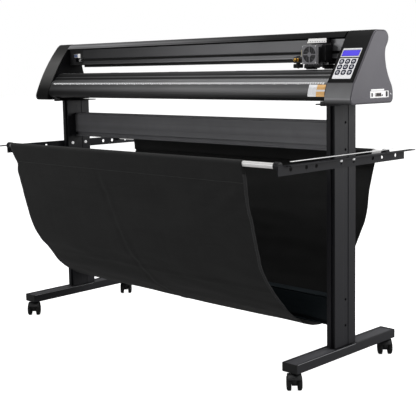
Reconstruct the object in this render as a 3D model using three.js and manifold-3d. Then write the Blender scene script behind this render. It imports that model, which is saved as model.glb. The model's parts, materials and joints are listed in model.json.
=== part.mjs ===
// Vinyl cutter, 1350 mm class, on a four-caster stand with a cloth catch bag.
// Millimetres. +X is the machine's right-hand end, +Y its rear, +Z up, and Z = 0 is the floor.
// The origin is on the floor, midway between the posts.

import * as THREE from "three";
import { mergeVertices } from "three/addons/utils/BufferGeometryUtils.js";
import Module from "manifold-3d";

const wasm = await Module();
wasm.setup();

// ---- Driving dimensions ----

const GAP = 0.3; // between pieces that touch
const RUN = 0.4; // running clearance in faceted holes

const FOOT_X = 697.5; // feet, posts and casters stand on these two lines
const FOOT_LENGTH = 538;
const FOOT_WIDTH = 60;
const FOOT_Z = [57, 86.5];

const CASTER_Y = 250;
const CASTER_TRAIL = 14;
const CASTER_TURN = THREE.MathUtils.degToRad(44.6); // the casters' resting heading
const WHEEL_R = 25;
const AXLE_R = 4;

const POST_WIDTH = 34;
const POST_DEPTH = 117;
const POST_TOP = 883;
const POST_GROOVE_Y = [-12, 16];
const POST_SLOT = { x: [0, 15.4], depth: 9 }; // in the front face of both posts, towards +X

const BEAM_HEIGHT = 98;
const BEAM_DEPTH = 40;
const BEAM_BOTTOMS = { upper_cross_beam: 733, lower_cross_beam: 149 };
const BEAM_SCREW_RISE = [5, 93]; // heights of the screw holes above a beam's bottom
const BOLTS_Y = [-40, 40]; // the bolts at each end of a post
const BOLT_HOLE_R = 4;

const ARM_X = 714.9; // inner face of the arm's web
const ARM_WEB = { thick: 3, y: [-342, 338], z: [682, 713] };
const ARM_FLANGE = { width: 22, thick: 3, y: [-304, 380] };
const ARM_HOLE_R = 6.8;
const ARM_HOLES_Y = [-283, -207, -157, -30, 38, 148, 204, 285];

const ROD_R = 9;
const ROD_END_X = 704;
const FRONT_ROD = { y: -330, z: 712 };
const REAR_ROD = { y: 240, z: 710 };

const BAG_THICK = 3;
const BAG_WIDTH = 1252;
const BAG_SHIFT_FRONT = -63.5; // the front hem hangs to the left, the rear hem to the right
const BAG_SHIFT_REAR = 32.5;
const SLEEVE_R = { inner: 9.8, outer: 12.4 };

const LEFT_WALL = -735; // outer faces of the two side plates
const RIGHT_WALL = 718;
const WALL = 3;
const HEAD_LEFT = LEFT_WALL + WALL + GAP; // rail and platen run between the plates
const HEAD_RIGHT = RIGHT_WALL - WALL - GAP;
const CAP_OUTER = 820;
const CAP_SHELL = 3;
const CAP_BEVEL = 3.5;

const RAIL_LEFT = -640;
const RAIL = { front: 2, back: 72, bottom: 1021, top: 1096 };
const GROOVE_Z = [1046, 1056];
const GROOVE_DEPTH = 9;

const SHAFT = { y: 12, z: 984.6, r: 6 };
const GRIT_R = 12;
const GRIT_X = [-450, -100, 250, 567, 643];
const GRIT_WIDTH = 50;

const BELT = { y: 20, r: 11, thick: 1.2, z: [1048, 1054] };
const IDLER_X = -672;
const DRIVE_X = 740;

const PINCH_X = { inner: 567, outer: 643 };
const PINCH_WIDTH = 60;
const PINCH_PIVOT = { y: 52, z: 1008 };
const PINCH_R = 6.5;
const PINCH_AXLE_Z = 1003.9; // leaves room for the vinyl over the grit rollers

const TOOL = { x: 549, y: -36, screwX: 556, screwZ: 1028 };
const GRILLE = { x: 614, z: 1045, size: 60 };

const PANEL_LOW = new THREE.Vector2(-104, 953.3); // the caps' flat sloping face runs
const PANEL_HIGH = new THREE.Vector2(-22, 1074); // between these two (Y, Z) points
const PANEL = { x: 766, z: 967, width: 71, height: 113 };
const KEY_PITCH = [22.6, 20.4];
const KEY_LOW = 22.8; // the bottom row of keys, above the panel's lower edge
const KEY_R = 8.3;
const DISPLAY = { width: 65, height: 21, centre: 95.3 };

const PORTS = { y: [-15.5, 88], z: [905.5, 926.5] };
const ROCKER = { y: 77, z: 916, width: 10, height: 15 };
const INLET = { x: [737, 785], z: [898.5, 924.5], back: 112 };

// ---- Materials ----

function paint(colour, roughness, metalness) {
  return new THREE.MeshStandardMaterial({ color: colour, roughness, metalness });
}

const powderCoat = paint(0x2c2c31, 0.5, 0.35);
const anodised = paint(0x3a3a3f, 0.42, 0.6);
const capPlastic = paint(0x36353a, 0.5, 0.0);
const blackPlastic = paint(0x161618, 0.55, 0.0);
const blackSteel = paint(0x121214, 0.5, 0.5);
const steel = paint(0xb9bbbf, 0.3, 0.9);
const silver = paint(0x9b9a9e, 0.4, 0.5);
const brass = paint(0xc8952e, 0.3, 0.9);
const cloth = paint(0x232325, 0.95, 0.0);
const rubber = paint(0x101011, 0.8, 0.0);
const film = paint(0xe9e9ee, 0.45, 0.0);
const keyCap = paint(0x2b3a5c, 0.5, 0.0);
const display = paint(0x3a32e6, 0.2, 0.0);
const whiteStrip = paint(0xd9d9d6, 0.5, 0.0);
const board = paint(0x1f5a36, 0.5, 0.0);

// ---- Geometry helpers ----

const machine = new THREE.Group();

function add(name, geometry, material, parent = machine) {
  const mesh = new THREE.Mesh(geometry, material);
  mesh.name = name;
  parent.add(mesh);
  return mesh;
}

function closed(geometry) {
  const bare = geometry.clone();
  bare.deleteAttribute("normal");
  bare.deleteAttribute("uv");
  return mergeVertices(bare, 1e-3);
}

function solid(geometry) {
  const merged = closed(geometry);
  const source = new wasm.Mesh({
    numProp: 3,
    vertProperties: new Float32Array(merged.attributes.position.array),
    triVerts: new Uint32Array(merged.index.array),
  });
  return new wasm.Manifold(source);
}

function surface(manifold) {
  const result = manifold.getMesh();
  const geometry = new THREE.BufferGeometry();
  geometry.setAttribute("position", new THREE.BufferAttribute(result.vertProperties, 3));
  geometry.setIndex(new THREE.BufferAttribute(result.triVerts, 1));
  const flat = geometry.toNonIndexed();
  flat.computeVertexNormals();
  return flat;
}

function join(...geometries) {
  return surface(geometries.map(solid).reduce((a, b) => a.add(b)));
}

function cut(body, ...tools) {
  return surface(tools.map(solid).reduce((a, b) => a.subtract(b), solid(body)));
}

function box(x, y, z) {
  const geometry = new THREE.BoxGeometry(x[1] - x[0], y[1] - y[0], z[1] - z[0]);
  return geometry.translate((x[0] + x[1]) / 2, (y[0] + y[1]) / 2, (z[0] + z[1]) / 2);
}

function widened([low, high], by) {
  return [low - by, high + by];
}

// A cylinder centred on a point, with its axis along "x", "y" or "z".
function rod(axis, radius, length, centre, sides = 12) {
  const geometry = new THREE.CylinderGeometry(radius, radius, length, sides);
  return turnTo(axis, geometry).translate(...centre);
}

// Three.js cylinders and lathes stand on their own Y axis; this lays them along another.
function turnTo(axis, geometry) {
  if (axis === "x") geometry.rotateZ(-Math.PI / 2);
  if (axis === "z") geometry.rotateX(Math.PI / 2);
  return geometry;
}

function lathe(axis, profile, sides) {
  const points = profile.map(([radius, along]) => new THREE.Vector2(radius, along));
  return turnTo(axis, new THREE.LatheGeometry(points, sides));
}

function shapeOf(points) {
  return new THREE.Shape(points.map((p) => (p.isVector2 ? p : new THREE.Vector2(p[0], p[1]))));
}

const TO_X = new THREE.Matrix4().makeBasis(
  new THREE.Vector3(0, 1, 0),
  new THREE.Vector3(0, 0, 1),
  new THREE.Vector3(1, 0, 0),
);
const TO_Y = new THREE.Matrix4().makeBasis(
  new THREE.Vector3(1, 0, 0),
  new THREE.Vector3(0, 0, 1),
  new THREE.Vector3(0, -1, 0),
);

// A (Y, Z) outline swept along X, an (X, Z) outline along Y, an (X, Y) outline along Z.
function sweepX(shape, from, to, curveSegments = 5) {
  const settings = { depth: to - from, bevelEnabled: false, curveSegments };
  return new THREE.ExtrudeGeometry(shape, settings).applyMatrix4(TO_X).translate(from, 0, 0);
}

function sweepY(shape, from, to, curveSegments = 5) {
  const settings = { depth: to - from, bevelEnabled: false, curveSegments };
  return new THREE.ExtrudeGeometry(shape, settings).applyMatrix4(TO_Y).translate(0, to, 0);
}

function sweepZ(shape, from, to, curveSegments = 5) {
  const settings = { depth: to - from, bevelEnabled: false, curveSegments };
  return new THREE.ExtrudeGeometry(shape, settings).translate(0, 0, from);
}

function roundedRect(x0, x1, y0, y1, radii) {
  const [a, b, c, d] = radii; // corners in order: low-low, high-low, high-high, low-high
  const shape = new THREE.Shape();
  shape.moveTo(x0 + a, y0);
  shape.lineTo(x1 - b, y0);
  shape.absarc(x1 - b, y0 + b, b, -Math.PI / 2, 0, false);
  shape.lineTo(x1, y1 - c);
  shape.absarc(x1 - c, y1 - c, c, 0, Math.PI / 2, false);
  shape.lineTo(x0 + d, y1);
  shape.absarc(x0 + d, y1 - d, d, Math.PI / 2, Math.PI, false);
  shape.lineTo(x0, y0 + a);
  shape.absarc(x0 + a, y0 + a, a, Math.PI, Math.PI * 1.5, false);
  return shape;
}

// A closed outline moved inwards by a distance, corner by corner.
function inset(points, distance) {
  const ring = THREE.ShapeUtils.isClockWise(points) ? [...points].reverse() : points;
  return ring.map((point, i) => {
    const before = ring[(i + ring.length - 1) % ring.length];
    const after = ring[(i + 1) % ring.length];
    const into = point.clone().sub(before).normalize();
    const out = after.clone().sub(point).normalize();
    const normal = new THREE.Vector2(-into.y - out.y, into.x + out.x).normalize();
    const stretch = 1 / Math.max(0.5, normal.dot(new THREE.Vector2(-into.y, into.x)));
    return point.clone().addScaledVector(normal, distance * stretch);
  });
}

function mirrored(geometry) {
  return surface(solid(geometry).mirror([1, 0, 0]));
}

// ---- Stand ----

function foot(side) {
  const half = FOOT_WIDTH / 2;
  const [low, high] = FOOT_Z;
  const rim = 7;
  const recess = 2.5;
  const wall = 3;
  const inner = half - wall;
  const ceiling = high - recess - wall - 0.5;
  const outline = shapeOf([
    [-half, low], [half, low], [half, high], [half - rim, high], [half - rim, high - recess],
    [rim - half, high - recess], [rim - half, high], [-half, high],
  ]);
  outline.holes.push(shapeOf([
    [-inner, low + wall], [inner, low + wall], [inner, ceiling], [-inner, ceiling],
  ]));
  const tube = sweepY(outline, -FOOT_LENGTH / 2, FOOT_LENGTH / 2);
  // Two bolts come up through the top wall into the post, which bridges the recessed strip.
  const bolts = BOLTS_Y.map((y) => rod("z", BOLT_HOLE_R, 8, [0, y, high - 4]));
  return cut(tube, ...bolts).translate(side * FOOT_X, 0, 0);
}

function casterHood() {
  const under = WHEEL_R + 1.5; // the fender's inner radius
  const over = under + 3.5;
  const halfCheek = 8.5; // the cheek stands between the two wheels
  const halfFender = 22;
  const stemHeight = 10;
  const cheek = new THREE.Shape();
  cheek.moveTo(-8, WHEEL_R - 8);
  cheek.lineTo(8, WHEEL_R - 8);
  cheek.quadraticCurveTo(20, WHEEL_R + 2, 22, FOOT_Z[0] - 12);
  cheek.lineTo(-CASTER_TRAIL, FOOT_Z[0] - 7);
  cheek.quadraticCurveTo(-20, WHEEL_R + 16, -8, WHEEL_R - 8);
  const fender = new THREE.Shape();
  const start = THREE.MathUtils.degToRad(35);
  fender.absarc(0, WHEEL_R, over, start, Math.PI - start, false);
  fender.absarc(0, WHEEL_R, under, Math.PI - start, start, true);
  const body = join(
    sweepY(cheek, -halfCheek, halfCheek, 4),
    sweepY(fender, -halfFender, halfFender, 5),
    rod("z", 8, stemHeight, [-CASTER_TRAIL, 0, FOOT_Z[0] - GAP - stemHeight / 2], 12),
  );
  return cut(body, rod("y", AXLE_R + RUN, 60, [0, 0, WHEEL_R], 12));
}

function casterWheel() {
  // Twin wheels on one axle, from the left wheel's outer face to the right one's.
  const outer = [[0, 25], [19, 25], [WHEEL_R, 20], [WHEEL_R, 12], [23, 10.5], [AXLE_R, 10.5]];
  const left = outer.map(([radius, along]) => [radius, -along]);
  return lathe("y", [...left, ...outer.reverse()], 16).translate(0, 0, WHEEL_R);
}

function addCaster(name, x, y) {
  const caster = new THREE.Group();
  // The stem is on the foot's line; the wheels trail behind it.
  const heading = CASTER_TURN - Math.PI / 2;
  caster.rotation.z = heading;
  caster.position.set(
    x + CASTER_TRAIL * Math.cos(heading),
    y + CASTER_TRAIL * Math.sin(heading),
    0,
  );
  add(`${name}_caster_hood`, casterHood(), blackPlastic, caster);
  add(`${name}_caster_wheel`, casterWheel(), rubber, caster);
  machine.add(caster);
}

function post(side) {
  const x = POST_WIDTH / 2;
  const y = POST_DEPTH / 2;
  const [g0, g1] = POST_GROOVE_Y;
  const slot = POST_SLOT;
  const groove = x - 2;
  const outline = new THREE.Shape();
  outline.moveTo(-x + 1, -y);
  outline.lineTo(slot.x[0] - 1, -y);
  outline.lineTo(slot.x[0], -y + 1);
  outline.lineTo(slot.x[0], -y + slot.depth);
  outline.lineTo(slot.x[1], -y + slot.depth);
  outline.lineTo(slot.x[1], -y);
  outline.lineTo(x, -y);
  outline.lineTo(x, g0);
  outline.lineTo(groove, g0 + 1);
  outline.lineTo(groove, g1 - 1);
  outline.lineTo(x, g1);
  outline.lineTo(x, y - 4);
  outline.lineTo(x - 4, y);
  outline.lineTo(-x + 4, y);
  outline.lineTo(-x, y - 4);
  outline.lineTo(-x, g1);
  outline.lineTo(-groove, g1 - 1);
  outline.lineTo(-groove, g0 + 1);
  outline.lineTo(-x, g0);
  outline.lineTo(-x, -y + 1);
  const wall = 4;
  for (const [low, high] of [[-y + slot.depth + wall, g0 - wall], [g1 + wall, y - wall - 2]]) {
    outline.holes.push(shapeOf([
      [-x + wall, low], [x - wall, low], [x - wall, high], [-x + wall, high],
    ]));
  }
  const tube = sweepZ(outline, FOOT_Z[1] + GAP, POST_TOP, 4);
  const holes = [];
  for (const bottom of Object.values(BEAM_BOTTOMS)) {
    for (const rise of BEAM_SCREW_RISE) {
      holes.push(rod("x", 4.5, 12, [side * (x - 7), (g0 + g1) / 2, bottom + rise]));
    }
  }
  return cut(tube, ...holes).translate(side * FOOT_X, 0, 0);
}

// A beam's front face is smooth, with two faint lines. It has a narrow groove near the top and a
// deep recess above a lip at the bottom.
function crossBeam(bottom) {
  const front = -BEAM_DEPTH / 2;
  const back = BEAM_DEPTH / 2;
  const points = [
    [back, 0], [back, BEAM_HEIGHT], [front + 1, BEAM_HEIGHT], [front, BEAM_HEIGHT - 1],
    [front, 96], [front + 4, 96], [front + 4, 92], [front, 91],
  ];
  for (const top of [66, 38]) {
    points.push([front, top], [front + 0.7, top - 0.7], [front, top - 1.4]);
  }
  points.push(
    [front, 18], [front + 9, 16.5], [front + 9, 6], [front + 1.5, 4.5], [front + 1.5, 1],
    [front + 2.5, 0],
  );
  const outline = shapeOf(points);
  outline.holes.push(shapeOf([
    [front + 13, 5], [back - 4, 5], [back - 4, BEAM_HEIGHT - 5], [front + 8, BEAM_HEIGHT - 5],
    [front + 8, 88], [front + 5, 86], [front + 5, 23], [front + 13, 21],
  ]));
  const end = FOOT_X - POST_WIDTH / 2 - GAP;
  return sweepX(outline, -end, end).translate(0, 0, bottom);
}

// The right arm. The left one is the same steel turned half round, so its flange tab points
// forwards, with its rod bosses where the rods are.
function bagArm(side) {
  const { thick, y, z } = ARM_WEB;
  const web = box([ARM_X, ARM_X + thick], y, z);
  const across = [ARM_X, ARM_X + ARM_FLANGE.width];
  const flange = box(across, ARM_FLANGE.y, [z[1] - ARM_FLANGE.thick, z[1]]);
  const holeZ = (z[0] + z[1]) / 2 + 1;
  const holes = ARM_HOLES_Y.map((at) => rod("x", ARM_HOLE_R, 12, [ARM_X, at, holeZ], 16));
  const bosses = [];
  const sockets = [];
  for (const bar of [FRONT_ROD, REAR_ROD]) {
    const along = side * bar.y;
    bosses.push(rod("x", 13, 19, [ARM_X - 9, along, bar.z], 12));
    sockets.push(rod("x", ROD_R + RUN, 24, [ROD_END_X + GAP - 12, along, bar.z], 14));
  }
  const arm = cut(join(web, flange, ...bosses), ...holes, ...sockets);
  return side > 0 ? arm : arm.rotateZ(Math.PI);
}

function bagRod({ y, z }) {
  return rod("x", ROD_R, 2 * ROD_END_X, [0, y, z], 14);
}

function catchBag() {
  const down = [
    [-330, 700], [-312, 622], [-297, 560], [-272, 455], [-243, 357], [-204, 291], [-152, 222],
    [-85, 170], [-13, 138], [31, 133],
  ];
  const up = [
    [66, 152], [90, 205], [112, 290], [133, 393], [152, 458], [190, 543], [222, 617], [240, 698],
  ];
  const line = [...down, ...up].map(([y, z]) => new THREE.Vector2(y, z));
  const strip = [];
  for (const side of [-1, 1]) {
    const row = line.map((point, i) => {
      const ahead = line[Math.min(i + 1, line.length - 1)];
      const behind = line[Math.max(i - 1, 0)];
      const along = ahead.clone().sub(behind).normalize();
      const across = new THREE.Vector2(-along.y, along.x);
      return point.clone().addScaledVector(across, (side * BAG_THICK) / 2);
    });
    strip.push(...(side < 0 ? row : row.reverse()));
  }
  const half = BAG_WIDTH / 2;
  const sleeves = [FRONT_ROD, REAR_ROD].map(({ y, z }) => {
    const ring = new THREE.Shape().absarc(y, z, SLEEVE_R.outer, 0, Math.PI * 2, false);
    ring.holes.push(new THREE.Path().absarc(y, z, SLEEVE_R.inner, 0, Math.PI * 2, true));
    return sweepX(ring, -half, half, 7);
  });
  const bag = join(sweepX(shapeOf(strip), -half, half), ...sleeves);
  const position = bag.attributes.position;
  for (let i = 0; i < position.count; i += 1) {
    const along = (position.getY(i) - FRONT_ROD.y) / (REAR_ROD.y - FRONT_ROD.y);
    const shift = THREE.MathUtils.lerp(BAG_SHIFT_FRONT, BAG_SHIFT_REAR, along);
    position.setX(i, position.getX(i) + shift);
  }
  return bag;
}

// ---- Head: side plates, caps and cover ----

// The end caps' side profile, seen from the right: front at low Y. The right cap's front is flat
// where the keys are; the left one's is a curve.
function capProfile(flatFront) {
  const outline = new THREE.Shape();
  outline.moveTo(-106, 887.4);
  outline.lineTo(98, 887);
  outline.quadraticCurveTo(114, 888.5, 114, 905);
  outline.quadraticCurveTo(115, 930, 104, 948.6);
  outline.quadraticCurveTo(78, 984, 72, 1015);
  outline.quadraticCurveTo(63, 1053.3, 76, 1069);
  outline.quadraticCurveTo(92, 1089.6, 84, 1104);
  outline.quadraticCurveTo(78, 1117.6, 62, 1118.6);
  outline.lineTo(20, 1118.6);
  outline.quadraticCurveTo(8, 1116.5, -6, 1098);
  if (flatFront) {
    outline.lineTo(PANEL_HIGH.x, PANEL_HIGH.y);
    outline.lineTo(PANEL_LOW.x, PANEL_LOW.y);
    outline.lineTo(-118, 911.3);
  } else {
    outline.quadraticCurveTo(-78, 1014, -118, 911.3);
  }
  outline.quadraticCurveTo(-123, 888.5, -106, 887.4);
  const points = outline.getPoints(4).filter((p, i, all) => i === 0 || p.distanceTo(all[i - 1]) > 0.5);
  if (points[0].distanceTo(points[points.length - 1]) < 0.5) points.pop();
  return points;
}

const rightProfile = capProfile(true);
const leftProfile = capProfile(false);

// A solid that runs along X through outlines with the same number of points.
function loftX(rings) {
  const count = rings[0].points.length;
  const position = rings.flatMap((ring) => ring.points.flatMap((p) => [ring.x, p.x, p.y]));
  const index = [];
  for (let ring = 0; ring < rings.length - 1; ring += 1) {
    for (let i = 0; i < count; i += 1) {
      const a = ring * count + i;
      const b = ring * count + ((i + 1) % count);
      index.push(a, b, b + count, a, b + count, a + count);
    }
  }
  const last = (rings.length - 1) * count;
  for (const [a, b, c] of THREE.ShapeUtils.triangulateShape(rings[0].points, [])) {
    index.push(c, b, a, a + last, b + last, c + last);
  }
  const geometry = new THREE.BufferGeometry();
  geometry.setAttribute("position", new THREE.Float32BufferAttribute(position, 3));
  geometry.setIndex(index);
  return geometry;
}

// Both caps are built as right-hand ones, from the side plate out to the machine's end.
function capShell(wall, profile) {
  const shoulder = CAP_OUTER - CAP_BEVEL;
  const shell = loftX([
    { x: wall + GAP, points: inset(profile, 0) },
    { x: shoulder, points: inset(profile, 0) },
    { x: CAP_OUTER, points: inset(profile, CAP_BEVEL) },
  ]);
  const hollow = loftX([
    { x: wall - 5, points: inset(profile, CAP_SHELL) },
    { x: shoulder - CAP_SHELL, points: inset(profile, CAP_SHELL) },
    { x: CAP_OUTER - CAP_SHELL, points: inset(profile, CAP_SHELL + 4) },
  ]);
  return cut(shell, hollow);
}

function panelFrame() {
  const frame = new THREE.Group();
  const slope = PANEL_HIGH.clone().sub(PANEL_LOW);
  frame.rotation.x = slope.angle();
  const t = (PANEL.z - PANEL_LOW.y) / slope.y;
  frame.position.set(PANEL.x, PANEL_LOW.x + slope.x * t, PANEL.z);
  frame.updateMatrixWorld();
  return frame;
}

const panel = panelFrame();

function keyCentres() {
  const centres = [];
  for (const row of [2, 1, 0]) {
    for (const column of [-1, 0, 1]) {
      centres.push([column * KEY_PITCH[0], KEY_LOW + row * KEY_PITCH[1]]);
    }
  }
  return centres;
}

function displayWindow(clearance) {
  const half = DISPLAY.width / 2 + clearance;
  const rise = DISPLAY.height / 2 + clearance;
  return { x: [-half, half], y: [DISPLAY.centre - rise, DISPLAY.centre + rise] };
}

function rightCap() {
  const opening = displayWindow(1.2);
  const windows = [
    box([-33.2, 33.2], [11.4, 75], [-8, 2]).applyMatrix4(panel.matrixWorld),
    box(opening.x, opening.y, [-8, 2]).applyMatrix4(panel.matrixWorld),
  ];
  const ports = box([CAP_OUTER - 10, CAP_OUTER + 2], widened(PORTS.y, 0.5), widened(PORTS.z, 0.5));
  const inlet = box(widened(INLET.x, 0.4), [96, 120], widened(INLET.z, 0.4));
  return cut(capShell(RIGHT_WALL, rightProfile), ...windows, ports, inlet);
}

function leftCap() {
  return mirrored(capShell(-LEFT_WALL, leftProfile));
}

// side is +1 or -1; the plate stands on the post with its foot turned inwards.
function sidePlate(side) {
  const outer = side > 0 ? RIGHT_WALL : -LEFT_WALL;
  const plate = sweepX(shapeOf(inset(rightProfile, 4)), outer - WALL, outer);
  const stem = box([outer - WALL, outer], [-62, 62], [POST_TOP + GAP, 900]);
  const base = box([640, outer], [-62, 62], [POST_TOP + GAP, POST_TOP + GAP + 4]);
  const shaftHole = rod("x", SHAFT.r + RUN, 20, [outer, SHAFT.y, SHAFT.z], 16);
  const beltHole = box([outer - 8, outer + 5], [3, 37], [1044, 1058]);
  const bolts = BOLTS_Y.map((y) => rod("z", BOLT_HOLE_R, 20, [FOOT_X, y, POST_TOP + 2]));
  const tools = side > 0 ? [shaftHole, beltHole, ...bolts] : [shaftHole, ...bolts];
  const steelPlate = cut(join(plate, stem, base), ...tools);
  return side > 0 ? steelPlate : mirrored(steelPlate);
}

function topCover() {
  const outside = [
    [-9, 1098], [4, 1112], [16, 1117.8], [62, 1117.8], [77, 1111], [84.5, 1097], [80, 1076],
  ];
  const inside = [
    [78, 1076.8], [82, 1096.6], [75.4, 1109.4], [61.5, 1115.6], [16.5, 1115.4], [5.4, 1110],
    [-7.2, 1096.8],
  ];
  return sweepX(shapeOf([...outside, ...inside]), HEAD_LEFT, HEAD_RIGHT);
}

// ---- Head: rail and platen ----

function carriageRail() {
  const { front, back, bottom, top } = RAIL;
  const deep = front + GROOVE_DEPTH;
  const [g0, g1] = GROOVE_Z;
  const outline = shapeOf([
    [front, bottom + 11], [front, g0], [deep, g0], [deep, g1], [front, g1], [front, top - 2],
    [front + 2, top], [back - 2, top], [back, top - 2], [back, bottom + 2], [back - 2, bottom],
    [54, bottom], [54, 1024], [58, 1024], [58, 1030], [42, 1030], [42, 1024], [46, 1024],
    [46, bottom], [front + 5, bottom], [front + 5, bottom + 8],
  ]);
  outline.holes.push(shapeOf([
    [16, 1034], [68, 1034], [68, 1092], [6, 1092], [6, 1060], [16, 1060],
  ]));
  return sweepX(outline, RAIL_LEFT, HEAD_RIGHT);
}

function idlerBracket() {
  const block = box([HEAD_LEFT, RAIL_LEFT - GAP], [2, 60], [1030, 1096]);
  const pocket = box([IDLER_X - 20, RAIL_LEFT + 5], [-5, 38], [1043.5, 1058.5]);
  const pin = rod("z", 3 + RUN, 26, [IDLER_X, BELT.y, 1051], 16);
  return cut(block, pocket, pin);
}

function platen() {
  const outline = shapeOf([
    [92, 897.6], [96, 901.6], [97, 930], [92, 945], [72, 985], [66, 996],
    [-31.6, 996], [-31.6, 993.5], [-40.4, 993.5], [-40.4, 996],
    [-52, 996], [-60, 992], [-64, 987], [-66, 981], [-73, 980], [-80, 973], [-82, 967],
    [-89, 966], [-94, 961], [-102, 949], [-106.5, 939], [-110.5, 928], [-112.5, 918],
    [-112, 909], [-108, 902], [-100, 897.6],
  ]);
  outline.holes.push(shapeOf([
    [89, 901.6], [92, 930], [88, 942], [67, 983], [62, 992], [-50, 991.5], [-60, 981], [-76, 968],
    [-90, 957], [-98, 945], [-106, 922], [-108, 914], [-104, 905], [-98, 901.6],
  ]));
  const body = sweepX(outline, HEAD_LEFT, HEAD_RIGHT);
  const half = GRIT_WIDTH / 2 + 2;
  const slotY = widened([SHAFT.y, SHAFT.y], GRIT_R + 0.5);
  const slots = GRIT_X.map((x) => box([x - half, x + half], slotY, [985, 1000]));
  return cut(body, ...slots);
}

function cuttingStrip() {
  return box([HEAD_LEFT + 2, HEAD_RIGHT - 2], [-40, -32], [993.5 + GAP, 996.2]);
}

function gritShaft() {
  const left = HEAD_LEFT - WALL - 2;
  const right = RIGHT_WALL + 11;
  const points = [[0, left], [SHAFT.r, left]];
  for (const x of GRIT_X) {
    const [a, b] = [x - GRIT_WIDTH / 2, x + GRIT_WIDTH / 2];
    points.push([SHAFT.r, a], [GRIT_R, a], [GRIT_R, b], [SHAFT.r, b]);
  }
  points.push([SHAFT.r, right], [0, right]);
  return lathe("x", points, 14).translate(0, SHAFT.y, SHAFT.z);
}

function feedMotor() {
  const half = 28;
  const start = RIGHT_WALL + 12;
  const { y, z } = SHAFT;
  const square = roundedRect(y - half, y + half, z - half, z + half, [5, 5, 5, 5]);
  return sweepX(square, start, start + 50, 2);
}

function carriageMotor() {
  const half = 17.5;
  const x = widened([DRIVE_X, DRIVE_X], half);
  const y = widened([BELT.y, BELT.y], half);
  return sweepZ(roundedRect(...x, ...y, [3, 3, 3, 3]), 1060, 1091, 2);
}

function pulley(x, axleUp, axleDown) {
  // Two rims, 2 mm thick, stand 1.2 mm clear of the belt's edges.
  const [low, high] = [BELT.z[0] - 1.2, BELT.z[1] + 1.2];
  const [bottom, top] = [low - 2, high + 2];
  const rim = BELT.r + 2.5;
  const drum = BELT.r - 0.3;
  const axle = 3;
  const points = [
    [0, bottom - axleDown], [axle, bottom - axleDown], [axle, bottom], [rim, bottom],
    [rim, low], [drum, low], [drum, high], [rim, high],
    [rim, top], [axle, top], [axle, top + axleUp], [0, top + axleUp],
  ];
  return turnZ(points).translate(x, BELT.y, 0);
}

// Lathed about Z with the profile's second number as the height.
function turnZ(points) {
  const profilePoints = points.map(([radius, height]) => new THREE.Vector2(radius, height));
  return new THREE.LatheGeometry(profilePoints, 14).rotateX(Math.PI / 2);
}

function belt() {
  const loop = (radius, reverse) => {
    const path = reverse ? new THREE.Path() : new THREE.Shape();
    const quarter = Math.PI / 2;
    if (reverse) {
      path.absarc(IDLER_X, BELT.y, radius, quarter * 3, quarter, true);
      path.absarc(DRIVE_X, BELT.y, radius, quarter, -quarter, true);
    } else {
      path.absarc(IDLER_X, BELT.y, radius, quarter, quarter * 3, false);
      path.absarc(DRIVE_X, BELT.y, radius, -quarter, quarter, false);
    }
    return path;
  };
  const band = loop(BELT.r + BELT.thick, false);
  band.holes.push(loop(BELT.r + 0.3, true));
  return sweepZ(band, ...BELT.z, 6);
}

// ---- Carriage ----

function carriageBody() {
  const { x, z, size } = GRILLE;
  const plate = box([579, 661], [-6, 1.4], [1020, 1082]);
  const toolWing = box([541, 600], [-6, 1.4], [1020, 1038]);
  const tongue = box([579, 655], [1, 6.8], [1047, 1055]);
  const flange = box([575, 655], [-22, 1.4], [1081, 1095]);
  const half = size / 2;
  const fanHousing = box([x - half, x + half], [-56, -5], [z - half, z + half]);
  const sideBlock = box([x + half - 1, 661], [-34, -5], [1024, 1075]);
  return join(plate, toolWing, tongue, flange, fanHousing, sideBlock);
}

function carriageGrille() {
  const { x, z, size } = GRILLE;
  const half = size / 2;
  const plate = roundedRect(x - half, x + half, z - half, z + half, [2.5, 2.5, 2.5, 2.5]);
  const spoke = THREE.MathUtils.degToRad(12);
  for (let quarter = 0; quarter < 4; quarter += 1) {
    const start = (quarter * Math.PI) / 2 + spoke;
    const end = ((quarter + 1) * Math.PI) / 2 - spoke;
    const slot = new THREE.Path();
    slot.absarc(x, z, 23.5, start, end, false);
    slot.absarc(x, z, 11, end, start, true);
    plate.holes.push(slot);
  }
  return sweepY(plate, -60.3, -56.3, 4);
}

function toolClamp() {
  const block = box([537, 575], [TOOL.y - 9, -6.3], [1018.5, 1038]);
  const bore = rod("z", 7 + RUN, 60, [TOOL.x, TOOL.y, 1037], 16);
  const screw = rod("y", 3 + RUN, 12, [TOOL.screwX, TOOL.y - 12, TOOL.screwZ], 12);
  return cut(block, bore, screw);
}

function bladeHolder() {
  const profilePoints = [
    [0, 999.5], [0.8, 1001], [3, 1002], [13, 1002.4], [16.5, 1004], [16.5, 1013.5], [13, 1016],
    [7, 1016], [7, 1040], [5, 1042], [0, 1042],
  ];
  return turnZ(profilePoints).translate(TOOL.x, TOOL.y, 0);
}

function clampScrew() {
  const tip = TOOL.y - 7.8;
  // A threaded end, a locking ring, a neck and a ball-shaped knob.
  const points = [
    [0, 0], [3, 0], [3, 1.6], [6, 1.6], [6, 6.6], [2.5, 7.6], [2.5, 12.5], [5, 14.3], [6.3, 18],
    [5, 22], [0, 24],
  ];
  const profilePoints = points.map(([radius, along]) => new THREE.Vector2(radius, along));
  const screw = new THREE.LatheGeometry(profilePoints, 14).rotateX(Math.PI);
  return screw.translate(TOOL.screwX, tip, TOOL.screwZ);
}

// ---- Pinch rollers ----

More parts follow.
